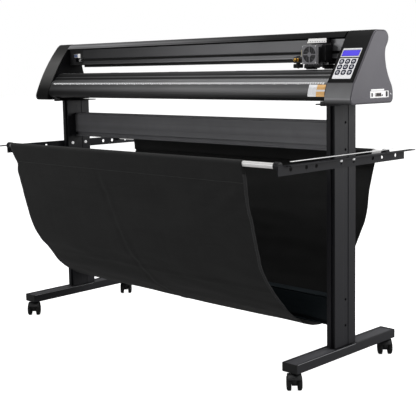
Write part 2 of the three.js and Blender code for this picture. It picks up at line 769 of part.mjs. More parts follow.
function pinchBracket(x) {
  const half = PINCH_WIDTH / 2;
  const foot = box([x - half, x + half], [42.5, 57.5], [1024.5, 1029.5]);
  const neck = box([x - half, x + half], [46.5, 53.5], [1016, 1025]);
  const top = box([x - half, x + half], [42, 66], [1013.5, 1020.6]);
  const cheeks = [-1, 1].map((side) => {
    const edges = [x + side * half, x + side * (half - 4)].sort((a, b) => a - b);
    return box(edges, [44, 66], [1000, 1014]);
  });
  const pivot = rod("x", 2.5 + RUN, 100, [x, PINCH_PIVOT.y, PINCH_PIVOT.z], 12);
  return cut(join(foot, neck, top, ...cheeks), pivot);
}

function pinchArm(x) {
  const half = PINCH_WIDTH / 2 - 4.6;
  const web = box([x - half, x + half], [22, 58], [1004.5, 1012]);
  const cheeks = [-1, 1].map((side) => {
    const edges = [x + side * half, x + side * (half - 4)].sort((a, b) => a - b);
    return box(edges, [3.5, 24], [1001, 1012]);
  });
  const pin = rod("x", 2.5, PINCH_WIDTH, [x, PINCH_PIVOT.y, PINCH_PIVOT.z], 12);
  const axle = rod("x", 2 + RUN, 100, [x, SHAFT.y, PINCH_AXLE_Z], 12);
  return cut(join(web, ...cheeks, pin), axle);
}

function pinchRoller(x) {
  const half = PINCH_WIDTH / 2 - 9.2;
  const end = half + 4;
  const points = [
    [0, -end], [2, -end], [2, -half], [PINCH_R, -half],
    [PINCH_R, half], [2, half], [2, end], [0, end],
  ];
  return lathe("x", points, 16).translate(x, SHAFT.y, PINCH_AXLE_Z);
}

// ---- Control panel, ports and electronics ----

function panelFilm() {
  const half = PANEL.width / 2;
  const outline = roundedRect(-half, half, 0, PANEL.height, [2, 2, 2, 2]);
  const opening = displayWindow(0.4);
  outline.holes.push(shapeOf([
    [opening.x[0], opening.y[0]], [opening.x[0], opening.y[1]],
    [opening.x[1], opening.y[1]], [opening.x[1], opening.y[0]],
  ]));
  for (const [u, v] of keyCentres()) {
    outline.holes.push(new THREE.Path().absarc(u, v, KEY_R + RUN, 0, Math.PI * 2, true));
  }
  return sweepZ(outline, GAP, GAP + 1, 7);
}

function keyButton([u, v]) {
  const flange = KEY_R + 1.5; // keeps the key behind the film
  const points = [
    [0, -3], [flange, -3], [flange, 0], [KEY_R, 0], [KEY_R, 1.8], [KEY_R - 0.7, 2.2], [0, 2.2],
  ];
  return turnZ(points).translate(u, v, 0);
}

function displayGlass() {
  const edge = displayWindow(0);
  return box(edge.x, edge.y, [-3, 0.9]);
}

function portPlate() {
  const plate = box([817.2, 818.6], PORTS.y, PORTS.z);
  const serial = sweepX(roundedRect(12, 43, 908.5, 921, [3, 3, 3, 3]), 818, 819.9, 2);
  const usb = box([818, 819.7], [-9, -2], [909, 921]);
  const { y, z, width, height } = ROCKER;
  const holeY = widened([y, y], width / 2 + 0.6);
  const holeZ = widened([z, z], height / 2 + 0.9);
  return cut(join(plate, serial, usb), box([810, 822], holeY, holeZ));
}

function powerRocker() {
  const { y, z, width, height } = ROCKER;
  return box([812, 819.6], widened([y, y], width / 2), widened([z, z], height / 2));
}

function mainsInlet() {
  const back = INLET.back;
  const housing = box(INLET.x, [86, back], INLET.z);
  const middle = (INLET.x[0] + INLET.x[1]) / 2;
  const centre = (INLET.z[0] + INLET.z[1]) / 2;
  const socket = box([middle - 12, middle + 12], [93, back + 5], [centre - 8, centre + 8]);
  const pins = [-7, 0, 7].map((x) => {
    const across = widened([middle + x, middle + x], 1);
    return box(across, [92, 106], widened([centre, centre], 2));
  });
  return join(cut(housing, socket), ...pins);
}

function mainBoard() {
  const plate = box([798, 799.6], [-60, 60], [936, 1006]);
  const parts = [
    box([786, 798.2], [-50, -28], [944, 966]),
    box([790, 798.2], [-18, 6], [959, 983]),
    box([788, 798.2], [24, 50], [942, 956]),
  ];
  const standoffs = [];
  for (const y of [-52, 52]) {
    for (const z of [940, 1002]) {
      standoffs.push(rod("x", 3, 17, [799.4 + 8.5, y, z], 8));
    }
  }
  return join(plate, ...parts, ...standoffs);
}

// ---- Assembly ----

for (const [name, side] of [["left", -1], ["right", 1]]) {
  add(`${name}_foot`, foot(side), powderCoat);
  add(`${name}_post`, post(side), powderCoat);
  add(`${name}_bag_arm`, bagArm(side), powderCoat);
  add(`${name}_side_plate`, sidePlate(side), blackSteel);
  addCaster(`${name}_front`, side * FOOT_X, -CASTER_Y);
  addCaster(`${name}_rear`, side * FOOT_X, CASTER_Y);
}
for (const [name, bottom] of Object.entries(BEAM_BOTTOMS)) {
  add(name, crossBeam(bottom), powderCoat);
}
add("front_bag_rod", bagRod(FRONT_ROD), silver);
add("rear_bag_rod", bagRod(REAR_ROD), silver);
add("catch_bag", catchBag(), cloth);

add("left_end_cap", leftCap(), capPlastic);
add("right_end_cap", rightCap(), capPlastic);
add("top_cover", topCover(), anodised);
add("carriage_rail", carriageRail(), anodised);
add("idler_bracket", idlerBracket(), blackSteel);
add("platen", platen(), anodised);
add("cutting_strip", cuttingStrip(), whiteStrip);
add("grit_shaft", gritShaft(), steel);
add("feed_motor", feedMotor(), blackSteel);
add("carriage_motor", carriageMotor(), blackSteel);
add("belt_idler_pulley", pulley(IDLER_X, 3, 3), steel);
add("belt_drive_pulley", pulley(DRIVE_X, 2, 3), steel);
add("carriage_belt", belt(), rubber);

add("carriage_body", carriageBody(), blackPlastic);
add("carriage_grille", carriageGrille(), silver);
add("tool_clamp", toolClamp(), silver);
add("blade_holder", bladeHolder(), blackPlastic);
add("clamp_screw", clampScrew(), brass);

for (const [name, x] of Object.entries(PINCH_X)) {
  add(`${name}_pinch_bracket`, pinchBracket(x), blackSteel);
  add(`${name}_pinch_arm`, pinchArm(x), blackPlastic);
  add(`${name}_pinch_roller`, pinchRoller(x), rubber);
}

machine.add(panel);
add("control_panel_film", panelFilm(), film, panel);
add("display_screen", displayGlass(), display, panel);
keyCentres().forEach((centre, i) => add(`key_${i + 1}`, keyButton(centre), keyCap, panel));

add("port_plate", portPlate(), whiteStrip);
add("power_rocker", powerRocker(), blackPlastic);
add("mains_inlet", mainsInlet(), blackPlastic);
add("main_board", mainBoard(), board);

export default machine;
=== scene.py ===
"""A wide vinyl cutter on a four-caster stand with a cloth catch bag.

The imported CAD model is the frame. This script gives its parts their finishes, and puts smooth or
sewn pieces in place of the plain ones. Shapes are worked out in millimetres and made in metres.
"""

import json
import math

import bmesh
import bpy
from mathutils import Matrix, Vector, noise


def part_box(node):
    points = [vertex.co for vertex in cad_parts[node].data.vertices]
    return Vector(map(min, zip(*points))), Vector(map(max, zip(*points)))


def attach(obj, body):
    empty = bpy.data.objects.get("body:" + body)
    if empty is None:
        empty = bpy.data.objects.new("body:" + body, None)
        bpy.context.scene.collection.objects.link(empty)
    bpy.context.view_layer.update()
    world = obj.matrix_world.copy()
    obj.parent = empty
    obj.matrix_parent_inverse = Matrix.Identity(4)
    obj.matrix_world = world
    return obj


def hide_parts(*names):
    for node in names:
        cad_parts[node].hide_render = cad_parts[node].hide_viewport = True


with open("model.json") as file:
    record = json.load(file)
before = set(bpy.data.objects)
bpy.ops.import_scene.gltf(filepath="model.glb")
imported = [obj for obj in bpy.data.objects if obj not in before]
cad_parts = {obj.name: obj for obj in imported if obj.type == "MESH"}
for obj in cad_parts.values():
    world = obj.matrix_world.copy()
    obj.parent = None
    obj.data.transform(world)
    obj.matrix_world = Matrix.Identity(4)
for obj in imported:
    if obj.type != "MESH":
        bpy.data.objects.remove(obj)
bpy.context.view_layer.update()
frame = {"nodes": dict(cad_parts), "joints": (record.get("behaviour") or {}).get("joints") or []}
MM = 0.001
X, Y, Z = Vector((1, 0, 0)), Vector((0, 1, 0)), Vector((0, 0, 1))


# ---- What the frame says ----

def corners(node):
    """Lowest and highest corner of a CAD node, in millimetres."""
    low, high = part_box(node)
    return low / MM, high / MM


def middle(node):
    low, high = corners(node)
    return (low + high) / 2


def joint(name):
    return next(j for j in frame["joints"] if j["name"] == name)


def joint_point(name):
    return Vector(joint(name)["pos_m"]) / MM


def axes_at(origin, x, y, z):
    """The placement that has these three axes and this origin."""
    return Matrix.Translation(origin) @ Matrix((x, y, z)).transposed().to_4x4()


# ---- Camera, stage and light ----

def make_camera():
    """The photograph's camera, fitted to the straight edges of the stand and the head."""
    eye = (2.4997, -2.4399, 0.9999)
    turn, down, roll = math.radians(43.965), math.radians(6.918), math.radians(-0.927)
    look = Vector((-math.sin(turn) * math.cos(down), math.cos(turn) * math.cos(down), -math.sin(down)))
    right = Vector((math.cos(turn), math.sin(turn), 0))
    up = right.cross(look)
    side = right * math.cos(roll) + up * math.sin(roll)
    top = up * math.cos(roll) - right * math.sin(roll)
    data = bpy.data.cameras.new("camera")
    data.lens = 80.44
    data.shift_x, data.shift_y = -0.0283, -0.0604
    data.sensor_width = 36
    data.clip_end = 60
    camera = show("camera", data)
    camera.matrix_world = axes_at(eye, side, top, -look)
    bpy.context.scene.camera = camera


def adjust(shader_node, **inputs):
    """Sets a shader node's inputs. An underscore in an input's name stands for a space."""
    for name, value in inputs.items():
        shader_node.inputs[name.replace("_", " ")].default_value = value


def node(owner, kind, operation=None, **inputs):
    made = owner.node_tree.nodes.new(f"ShaderNode{kind}")
    if operation:
        made.operation = operation
    adjust(made, **inputs)
    return made


def glow(strength, colour=(1, 1, 1)):
    """What makes a finish shine by itself. The display and the floor give light; on every other part it is
    painted light.
    """
    return {"Emission_Color": (*colour, 1), "Emission_Strength": strength}


def show(name, data):
    """A new object in the scene."""
    obj = bpy.data.objects.new(name, data)
    bpy.context.scene.collection.objects.link(obj)
    return obj


def mix_by_camera_ray(owner, lighting, seen, target):
    """What the camera looks at directly is `seen`; what lights the machine is `lighting`."""
    link = owner.node_tree.links.new
    mix = node(owner, "MixShader")
    link(node(owner, "LightPath").outputs["Is Camera Ray"], mix.inputs["Fac"])
    link(lighting, mix.inputs[1])
    link(seen, mix.inputs[2])
    link(mix.outputs["Shader"], target)


def make_floor():
    mesh = bpy.data.meshes.new("floor")
    reach = 30
    mesh.from_pydata([(-reach, -reach, 0), (reach, -reach, 0), (reach, reach, 0), (-reach, reach, 0)], [],
                     [(0, 1, 2, 3)])
    floor = show("floor", mesh)
    made = bpy.data.materials.new("pale_floor")
    made.use_nodes = True
    nodes = made.node_tree.nodes
    shader = nodes["Principled BSDF"]
    adjust(shader, Base_Color=(0.86, 0.86, 0.86, 1), Roughness=0.9, Specular_IOR_Level=0.1, **glow(0.95))
    dim = node(made, "BsdfDiffuse", Color=(0.5, 0.5, 0.5, 1))
    mix_by_camera_ray(made, dim.outputs["BSDF"], shader.outputs["BSDF"],
                      nodes["Material Output"].inputs["Surface"])
    mesh.materials.append(made)


def make_world():
    """A pale room: white to look at, brighter overhead and behind the machine than before it."""
    world = bpy.data.worlds.new("studio")
    world.use_nodes = True
    link = world.node_tree.links.new
    world.node_tree.nodes.clear()
    output = node(world, "OutputWorld")
    seen = node(world, "Background", Color=(1, 1, 1, 1))
    lit = node(world, "Background")
    facing = node(world, "VectorMath", "DOT_PRODUCT")
    facing.inputs[1].default_value = (0.55, 0.62, 0.56)
    shade = node(world, "MapRange", From_Min=-0.6, From_Max=1.0, To_Min=0.02, To_Max=0.60)
    link(node(world, "TexCoord").outputs["Generated"], facing.inputs[0])
    link(facing.outputs["Value"], shade.inputs["Value"])
    link(shade.outputs["Result"], lit.inputs["Strength"])
    mix_by_camera_ray(world, lit.outputs["Background"], seen.outputs["Background"],
                      output.inputs["Surface"])
    bpy.context.scene.world = world


def area_light(name, place, target, size, power):
    data = bpy.data.lights.new(name, "AREA")
    data.shape = "RECTANGLE"
    data.size, data.size_y = size
    data.energy = power
    light = show(name, data)
    light.location = place
    light.rotation_mode = "QUATERNION"
    light.rotation_quaternion = (Vector(target) - Vector(place)).to_track_quat("-Z", "Y")


make_camera()
make_floor()
make_world()
area_light("overhead", (0.3, -0.2, 3.4), (0, 0, 0.8), (3.2, 2.4), 40)
area_light("right_rear", (3.2, 2.4, 1.7), (0.8, 0, 0.9), (1.8, 2.2), 45)
area_light("front_left", (-1.7, -3.0, 1.5), (0, 0, 0.8), (1.6, 1.2), 16)
bpy.context.scene.view_settings.view_transform = "Standard"


# ---- Materials ----

def finish(name, colour, roughness, metallic=0.0, grain=(1.2, 1.2, 1.2), shade=0.12, bump=0.15,
           coarse=60, **sockets):
    """A procedural finish. grain is the size of its texture along X, Y and Z in millimetres, and bump
    the strength of its relief. shade is how far its colour wanders, over about `coarse` mm."""
    spread, depth = 0.08, 0.15
    made = bpy.data.materials.new(name)
    made.use_nodes = True
    link = made.node_tree.links.new
    shader = made.node_tree.nodes["Principled BSDF"]
    adjust(shader, Metallic=metallic, **sockets)
    place = node(made, "TexCoord").outputs["Object"]
    fine_map = node(made, "Mapping", Scale=[1 / (size * MM) for size in grain])
    fine = node(made, "TexNoise", Scale=1.0, Detail=3.0)
    link(place, fine_map.inputs["Vector"])
    link(fine_map.outputs["Vector"], fine.inputs["Vector"])
    broad = node(made, "TexNoise", Scale=1 / (coarse * MM), Detail=4.0)
    link(place, broad.inputs["Vector"])
    both = node(made, "Mix", Factor=0.5)
    link(fine.outputs["Fac"], both.inputs["A"])
    link(broad.outputs["Fac"], both.inputs["B"])
    ramp = node(made, "ValToRGB")
    darkest, lightest = ramp.color_ramp.elements
    darkest.position, lightest.position = 0.3, 0.7
    darkest.color = [c * (1 - shade) for c in colour] + [1]
    lightest.color = [min(1, c * (1 + shade)) for c in colour] + [1]
    link(both.outputs["Result"], ramp.inputs["Fac"])
    link(ramp.outputs["Color"], shader.inputs["Base Color"])
    rough = node(made, "MapRange", From_Min=0.3, From_Max=0.7,
                 To_Min=max(0.02, roughness - spread), To_Max=min(1, roughness + spread))
    link(both.outputs["Result"], rough.inputs["Value"])
    link(rough.outputs["Result"], shader.inputs["Roughness"])
    relief = node(made, "Bump", Strength=bump, Distance=depth * MM)
    link(fine.outputs["Fac"], relief.inputs["Height"])
    link(relief.outputs["Normal"], shader.inputs["Normal"])
    return made


def paint_light_bands(material, axis, stops):
    """Paints light and shade into a finish in bands along one axis: painted reflections, highlights and
    shadows where the studio's light would fall on ribbed and rounded parts. stops are (place in millimetres,
    share of the colour)."""
    link = material.node_tree.links.new
    colour = material.node_tree.nodes["Principled BSDF"].inputs["Base Color"]
    before = colour.links[0].from_socket
    split = node(material, "SeparateXYZ")
    link(node(material, "TexCoord").outputs["Object"], split.inputs["Vector"])
    first, last = stops[0][0], stops[-1][0]
    span = node(material, "MapRange", From_Min=first * MM, From_Max=last * MM)
    link(split.outputs[axis], span.inputs["Value"])
    ramp = node(material, "ValToRGB")
    elements = ramp.color_ramp.elements
    for number, (place, share) in enumerate(stops):
        at = (place - first) / (last - first)
        element = elements[number] if number < 2 else elements.new(at)
        element.position = at
        element.color = (share, share, share, 1)
    link(span.outputs["Result"], ramp.inputs["Fac"])
    mix = node(material, "Mix")
    mix.data_type = "RGBA"
    mix.blend_type = "MULTIPLY"
    mix.inputs["Factor"].default_value = 1.0
    first_colour, second_colour = [socket for socket in mix.inputs if socket.type == "RGBA"]
    link(before, first_colour)
    link(ramp.outputs["Color"], second_colour)
    link(next(socket for socket in mix.outputs if socket.type == "RGBA"), colour)


COAT = {"grain": (0.9, 0.9, 0.9), "bump": 0.25}
METAL = {"metallic": 0.75, "grain": (90, 0.5, 0.5), "bump": 0.1, "coarse": 300}
MOULDED = {"grain": (0.8, 0.8, 0.8), "bump": 0.35}

# Painted light on the upper beam: a far lighter colour than the posts' coat stands in for its lit front,
# with a painted reflection growing towards the right and painted light and dark lines along its ribs.
beam_coat = finish("beam_coat", (0.215, 0.215, 0.228), 0.46, **COAT)
paint_light_bands(beam_coat, "X", [(-720, 0.66), (-100, 1.3), (700, 1.4)])
paint_light_bands(beam_coat, "Z", [(733, 0.8), (738, 1.1), (745, 0.92), (752, 1.08), (774, 0.93), (788, 1.1),
                        (815, 0.92), (831, 1.02)])
post_coat = finish("post_coat", (0.019, 0.019, 0.023), 0.46, **COAT, Specular_IOR_Level=0.36)
arm_coat = finish("arm_coat", (0.022, 0.022, 0.026), 0.46, **COAT, Specular_IOR_Level=0.25)
lower_coat = finish("lower_coat", (0.016, 0.022, 0.026), 0.5, **COAT, Specular_IOR_Level=0.2)
strip_coat = finish("strip_coat", (0.10, 0.10, 0.11), 0.5, grain=(0.9, 0.9, 0.9), bump=0.2)
# Painted reflections and shade on the platen: light and dark bands down its rounded front, a painted shadow
# line in the groove and a painted highlight on the step's edge, darker towards the left and towards the
# rear.
platen_metal = finish("platen_metal", (0.48, 0.48, 0.49), 0.42, **METAL)
paint_light_bands(platen_metal, "Z", [(897, 0.33), (914, 0.15), (922, 0.18), (935, 0.92), (948, 0.66), (956, 0.95),
                           (969, 0.95), (971, 0.14), (977, 0.16), (979, 0.85), (982, 0.22), (996, 0.30)])
paint_light_bands(platen_metal, "X", [(-740, 0.35), (-450, 0.55), (-250, 0.75), (100, 1.0), (480, 0.9), (716, 0.75)])
paint_light_bands(platen_metal, "Y", [(60, 1.0), (78, 0.2)])
# Painted reflections and shade on the rail: painted shadow under its lower lip, in its groove and under the
# cover's edge, a painted highlight on the lip's chamfer, darker towards the left, much lighter at the right
# end and darker towards the rear.
rail_metal = finish("rail_metal", (0.29, 0.29, 0.30), 0.42, **METAL)
paint_light_bands(rail_metal, "Z", [(1021, 0.09), (1031, 0.09), (1032.5, 1.0), (1035.5, 1.0), (1037, 0.68),
                         (1045, 0.68), (1047, 0.32), (1055, 0.32), (1057, 0.64), (1092.5, 0.64),
                         (1093.5, 0.04), (1096, 0.04)])
paint_light_bands(rail_metal, "X", [(-640, 0.45), (-400, 0.56), (50, 1.0), (394, 1.0), (655, 1.0), (670, 1.7),
                         (716, 1.7)])
paint_light_bands(rail_metal, "Y", [(24, 1.0), (34, 0.2)])
# Painted reflections on the cover: light and dark lines across its front, much lighter at the left end and
# nearly black towards the right, and darker towards the rear.
cover_metal = finish("cover_metal", (0.46, 0.46, 0.47), 0.42, **METAL, Specular_IOR_Level=0.15)
paint_light_bands(cover_metal, "Z", [(1076, 0.3), (1097.5, 0.3), (1099, 0.95), (1103, 0.55), (1105, 1.0),
                          (1110.5, 0.95), (1113, 0.42), (1118, 0.45)])
paint_light_bands(cover_metal, "X", [(-735, 1.3), (-400, 1.15), (50, 0.5), (394, 0.07), (600, 0.02), (716, 0.02)])
paint_light_bands(cover_metal, "Y", [(62, 1.0), (72, 0.2)])
foot_coat = finish("foot_coat", (0.024, 0.024, 0.028), 0.46, **COAT, Specular_IOR_Level=0.36)
# A painted highlight for the feet's top right edges.
painted_edge_highlight = finish("painted_edge_highlight", (0.48, 0.48, 0.50), 0.4, grain=(20, 20, 1), bump=0.05)
dull_black = finish("dull_black", (0.006, 0.006, 0.007), 0.6, grain=(0.9, 0.9, 0.9), Specular_IOR_Level=0.12)
# The right cap's front is black: below the panel it is given a grey painted reflection with a painted
# highlight near its bottom edge; from the panel up it stays near black.
right_cap_front = finish("right_cap_front", (0.36, 0.36, 0.37), 0.5, **MOULDED, Specular_IOR_Level=0.12)
paint_light_bands(right_cap_front, "Z", [(886, 0.05), (901, 0.8), (905, 1.7), (909, 1.1), (953, 0.6), (956, 0.04),
                              (1119, 0.03)])
# Painted reflection on the left cap's curved front: lightest across its middle, darker towards the top and
# the bottom.
left_cap_front = finish("left_cap_front", (0.165, 0.163, 0.161), 0.5, **MOULDED, Specular_IOR_Level=0.15)
paint_light_bands(left_cap_front, "Z", [(886, 0.04), (930, 0.10), (990, 0.85), (1040, 1.0), (1085, 0.4), (1119, 0.2)])
# The caps' sides share the black moulding of their fronts; their far lighter colour is a painted reflection
# of the bright room, and painted shade darkens it a little towards the bottom.
cap_side_painted_reflection = finish("cap_side_painted_reflection", (0.188, 0.180, 0.206), 0.5, **MOULDED)
paint_light_bands(cap_side_painted_reflection, "Z", [(886, 0.86), (1050, 1.0)])
black_plastic = finish("black_plastic", (0.010, 0.010, 0.011), 0.48, bump=0.2)
black_steel = finish("black_steel", (0.012, 0.012, 0.013), 0.42, bump=0.2)
steel = finish("steel", (0.56, 0.56, 0.58), 0.28, metallic=1.0, grain=(0.3, 6, 6), bump=0.06)
silver = finish("silver", (0.22, 0.215, 0.235), 0.45, metallic=0.3, grain=(0.6, 0.6, 0.6), bump=0.15)
# The rods' finish glows a little: painted light that makes them brighter than their white finish alone.
rod_white = finish("rod_white", (0.84, 0.83, 0.82), 0.36, metallic=0.3, grain=(20, 1, 1), bump=0.05,
                   **glow(0.22, (1, 0.99, 0.98)))
brass = finish("brass", (0.72, 0.42, 0.10), 0.24, metallic=1.0, grain=(0.5, 0.5, 0.5), bump=0.08)
rubber = finish("rubber", (0.012, 0.012, 0.012), 0.72, grain=(0.7, 0.7, 0.7), bump=0.3)
grit = finish("grit", (0.30, 0.30, 0.31), 0.62, metallic=0.8, grain=(0.35, 0.35, 0.35), bump=0.9)
# The panel film glows a little: painted light that keeps the white film bright.
film_white = finish("panel_film", (0.84, 0.84, 0.87), 0.38, shade=0.02, bump=0.08, **glow(0.34))
film_black = finish("panel_black", (0.012, 0.012, 0.014), 0.35, shade=0.05, bump=0.08)
key_navy = finish("key_navy", (0.010, 0.014, 0.045), 0.42, bump=0.12, Specular_IOR_Level=0.15)
# The keys' white print glows a little: painted light.
key_print = finish("key_print", (0.82, 0.84, 0.90), 0.4, shade=0.03, bump=0.05, **glow(0.25))
white_plastic = finish("white_plastic", (0.74, 0.74, 0.73), 0.45, shade=0.05, bump=0.1)
cream = finish("cream_plastic", (0.70, 0.62, 0.42), 0.45, shade=0.06, bump=0.1)
blue_plastic = finish("blue_plastic", (0.16, 0.22, 0.42), 0.45, bump=0.1)
board_green = finish("circuit_board", (0.02, 0.11, 0.045), 0.4, grain=(3, 3, 3), shade=0.3)
grey_print = finish("grey_print", (0.42, 0.42, 0.44), 0.5, shade=0.05, bump=0.05)
backlit = finish("backlit_display", (0.02, 0.01, 0.25), 0.22, shade=0.04, bump=0.02,
                 **glow(0.8, (0.05, 0.025, 0.78)))
# The port plate and the label's finishes glow: painted light that keeps them bright where they face down
# into shade.
port_white = finish("port_white", (0.82, 0.82, 0.81), 0.5, shade=0.04, bump=0.05, **glow(0.55))
label_white = finish("label_white", (0.80, 0.80, 0.80), 0.5, grain=(3, 3, 3), shade=0.06, bump=0.05,
                     **glow(0.5, (0.96, 0.97, 1)))
label_orange = finish("label_orange", (0.80, 0.50, 0.22), 0.45, grain=(3, 3, 3), shade=0.08, bump=0.05,
                      **glow(0.5, (0.86, 0.50, 0.20)))
guard_grey = finish("guard_grey", (0.33, 0.325, 0.345), 0.5, metallic=0.2, grain=(0.6, 0.6, 0.6), bump=0.15)
fan_grey = finish("fan_grey", (0.085, 0.083, 0.088), 0.5, grain=(0.8, 0.8, 0.8))
fan_dark = finish("fan_dark", (0.045, 0.044, 0.047), 0.6, grain=(0.8, 0.8, 0.8))
# These three finishes glow though their parts give no light: a painted glint on the carriage's plate and the
# tensioner's white block, painted light on the bolts, the arm's worn edge and the ruler's print.
bright_plate = finish("bright_plate", (0.86, 0.85, 0.83), 0.36, grain=(6, 1, 1), bump=0.05,
                      **glow(0.42, (1, 0.99, 0.97)))
bright_edge = finish("bright_edge", (0.85, 0.85, 0.85), 0.3, grain=(20, 1, 1), bump=0.05, **glow(0.35))
ruler_print = finish("ruler_print", (0.80, 0.80, 0.81), 0.5, shade=0.04, bump=0.04, **glow(0.22))
connector_brown = finish("connector_brown", (0.10, 0.065, 0.04), 0.45, grain=(2, 2, 2), bump=0.05)


def woven_cloth():
    """Black polyester: a 0.6 mm plain weave on the cloth's own flat coordinates, with a soft sheen."""
    made = finish("woven_cloth", (0.0240, 0.0242, 0.0240), 0.78, grain=(2.5, 2.5, 2.5), shade=0.36,
                  bump=0.12, coarse=120, Sheen_Weight=0.10, Sheen_Roughness=0.5,
                  Specular_IOR_Level=0.3)
    link = made.node_tree.links.new
    normal = made.node_tree.nodes["Principled BSDF"].inputs["Normal"]
    flat = node(made, "UVMap")
    flat.uv_map = "flat"
    cross = node(made, "Math", "MAXIMUM")
    for number, direction in enumerate("XY"):
        wave = node(made, "TexWave", Scale=520, Distortion=0.6)
        wave.bands_direction = direction
        link(flat.outputs["UV"], wave.inputs["Vector"])
        link(wave.outputs["Fac"], cross.inputs[number])
    relief = node(made, "Bump", Strength=0.35, Distance=0.12 * MM)
    link(cross.outputs["Value"], relief.inputs["Height"])
    link(normal.links[0].from_socket, relief.inputs["Normal"])
    link(relief.outputs["Normal"], normal)
    return made


cloth = woven_cloth()
thread = finish("thread", (0.11, 0.11, 0.11), 0.7, grain=(0.4, 0.4, 0.4), bump=0.3)


# ---- Mesh building ----

class Form:
    """Shapes in millimetres, gathered into one mesh. paint is a shape's place in the piece's finishes."""

    def __init__(self):
        self.points = []
        self.faces = []
        self.paints = []

    def add(self, points, faces, paint=0, place=None):
        first = len(self.points)
        self.points += [place @ Vector(p) if place else Vector(p) for p in points]
        self.faces += [[first + i for i in face] for face in faces]
        self.paints += [paint] * len(faces)
        return self

    def box(self, x, y, z, paint=0, place=None):
        points = [(a, b, c) for a in x for b in y for c in z]
        faces = [(0, 1, 3, 2), (4, 6, 7, 5), (0, 4, 5, 1), (2, 3, 7, 6), (0, 2, 6, 4), (1, 5, 7, 3)]
        return self.add(points, faces, paint, place)

    def loft(self, rings, paint=0, place=None, closed=False):
        """Joins rings of equally many points; the ends are capped unless the loft closes on itself."""
        count = len(rings[0])
        points = [p for ring in rings for p in ring]
        pairs = len(rings) if closed else len(rings) - 1
        faces = []
        for ring in range(pairs):
            start, ahead = ring * count, (ring + 1) % len(rings) * count
            for i in range(count):
                j = (i + 1) % count
                faces.append((start + i, start + j, ahead + j, ahead + i))
        if not closed:
            faces.append(tuple(reversed(range(count))))
            faces.append(tuple(range(len(points) - count, len(points))))
        return self.add(points, faces, paint, place)

    def sweep(self, outline, axis, start, end, paint=0, place=None):
        """Carries a closed outline, given in the other two axes' order, along X, Y or Z."""
        at = "xyz".index(axis)
        rings = [[(*p[:at], along, *p[at:]) for p in outline] for along in (start, end)]
        return self.loft(rings, paint, place)

    def lathe(self, profile, centre, axis=Z, sides=32, paint=0, place=None, corners_from=None):
        """Turns (radius, along) points about an axis. From the point numbered corners_from on,
        the turned shape is a hexagon, as in a socket screw."""
        axis = Vector(axis).normalized()
        across = axis.orthogonal().normalized()
        other = axis.cross(across)
        rings = []
        for step, (radius, along) in enumerate(profile):
            ring = []
            for i in range(sides):
                angle = 2 * math.pi * i / sides
                reach = max(radius, 1e-3)
                if corners_from is not None and step >= corners_from:
                    reach *= math.cos(math.pi / 6) / math.cos(angle % (math.pi / 3) - math.pi / 6)
                spoke = across * math.cos(angle) + other * math.sin(angle)
                ring.append(Vector(centre) + axis * along + spoke * reach)
            rings.append(ring)
        return self.loft(rings, paint, place)

    def disc(self, radius, start, end, centre, axis=Z, sides=32, paint=0, place=None):
        profile = [(0, start), (radius, start), (radius, end), (0, end)]
        return self.lathe(profile, centre, axis, sides, paint, place)

    def solid(self):
        """The faces in one editable mesh, merged where they meet and facing outwards."""
        bm = bmesh.new()
        made = [bm.verts.new(p * MM) for p in self.points]
        for face, paint in zip(self.faces, self.paints):
            bm.faces.new([made[i] for i in face]).material_index = paint
        bmesh.ops.remove_doubles(bm, verts=bm.verts, dist=2e-6)
        bmesh.ops.recalc_face_normals(bm, faces=bm.faces)
        return bm

    def piece(self, name, finishes, body, bevel=0.0, slot=None, replaces=(), sharp=38):
        """Makes the mesh, with rounded edges `bevel` mm wide, and sets it riding on its body."""
        bm = self.solid()
        if bevel:
            keen = [e for e in bm.edges if e.is_manifold and e.calc_face_angle() > math.radians(sharp)]
            bmesh.ops.bevel(bm, geom=keen, offset=bevel * MM, offset_type="OFFSET", segments=2,
                            profile=0.5, affect="EDGES", clamp_overlap=True)
        for face in bm.faces:
            face.smooth = True
        for edge in bm.edges:
            if edge.is_manifold and edge.calc_face_angle() > math.radians(sharp):
                edge.smooth = False
        mesh = bpy.data.meshes.new(name)
        bm.to_mesh(mesh)
        bm.free()
        for item in finishes:
            mesh.materials.append(item)
        obj = show(name, mesh)
        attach(obj, body)
        if replaces:
            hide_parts(*replaces)
        return obj


def ring_of(radius, centre, steps, start=0.0, end=2 * math.pi, whole=True):
    """Points on a circle or an arc, as pairs."""
    count = steps if whole else steps + 1
    return [
        (centre[0] + radius * math.cos(start + (end - start) * i / steps),
         centre[1] + radius * math.sin(start + (end - start) * i / steps))
        for i in range(count)
    ]


def rounded(x, y, radius, steps=5):
    """A rectangle's outline with rounded corners."""
    (x0, x1), (y0, y1) = x, y
    centres = [(x1 - radius, y0 + radius), (x1 - radius, y1 - radius),
               (x0 + radius, y1 - radius), (x0 + radius, y0 + radius)]
    outline = []
    for corner, centre in enumerate(centres):
        start = (corner - 1) * math.pi / 2
        outline += ring_of(radius, centre, steps, start, start + math.pi / 2, whole=False)
    return outline


def around(middle, half):
    return (middle - half, middle + half)


# ---- Finishes of the CAD parts that stay ----

def dress(node, material, edge):
    """Gives a CAD part its finish, and rounds its edges by `edge` mm."""
    obj = frame["nodes"][node]
    mesh = obj.data
    if "custom_normal" in mesh.attributes:
        mesh.attributes.remove(mesh.attributes["custom_normal"])
    mesh.shade_smooth()
    mesh.materials.clear()
    mesh.materials.append(material)
    weld = obj.modifiers.new("weld", "WELD")
    weld.merge_threshold = 5e-6
    if edge:
        bevel = obj.modifiers.new("bevel", "BEVEL")
        bevel.width = edge * MM
        bevel.segments = 2
        bevel.limit_method = "ANGLE"
        bevel.angle_limit = math.radians(32)
    normals = obj.modifiers.new("normals", "WEIGHTED_NORMAL")
    normals.keep_sharp = True


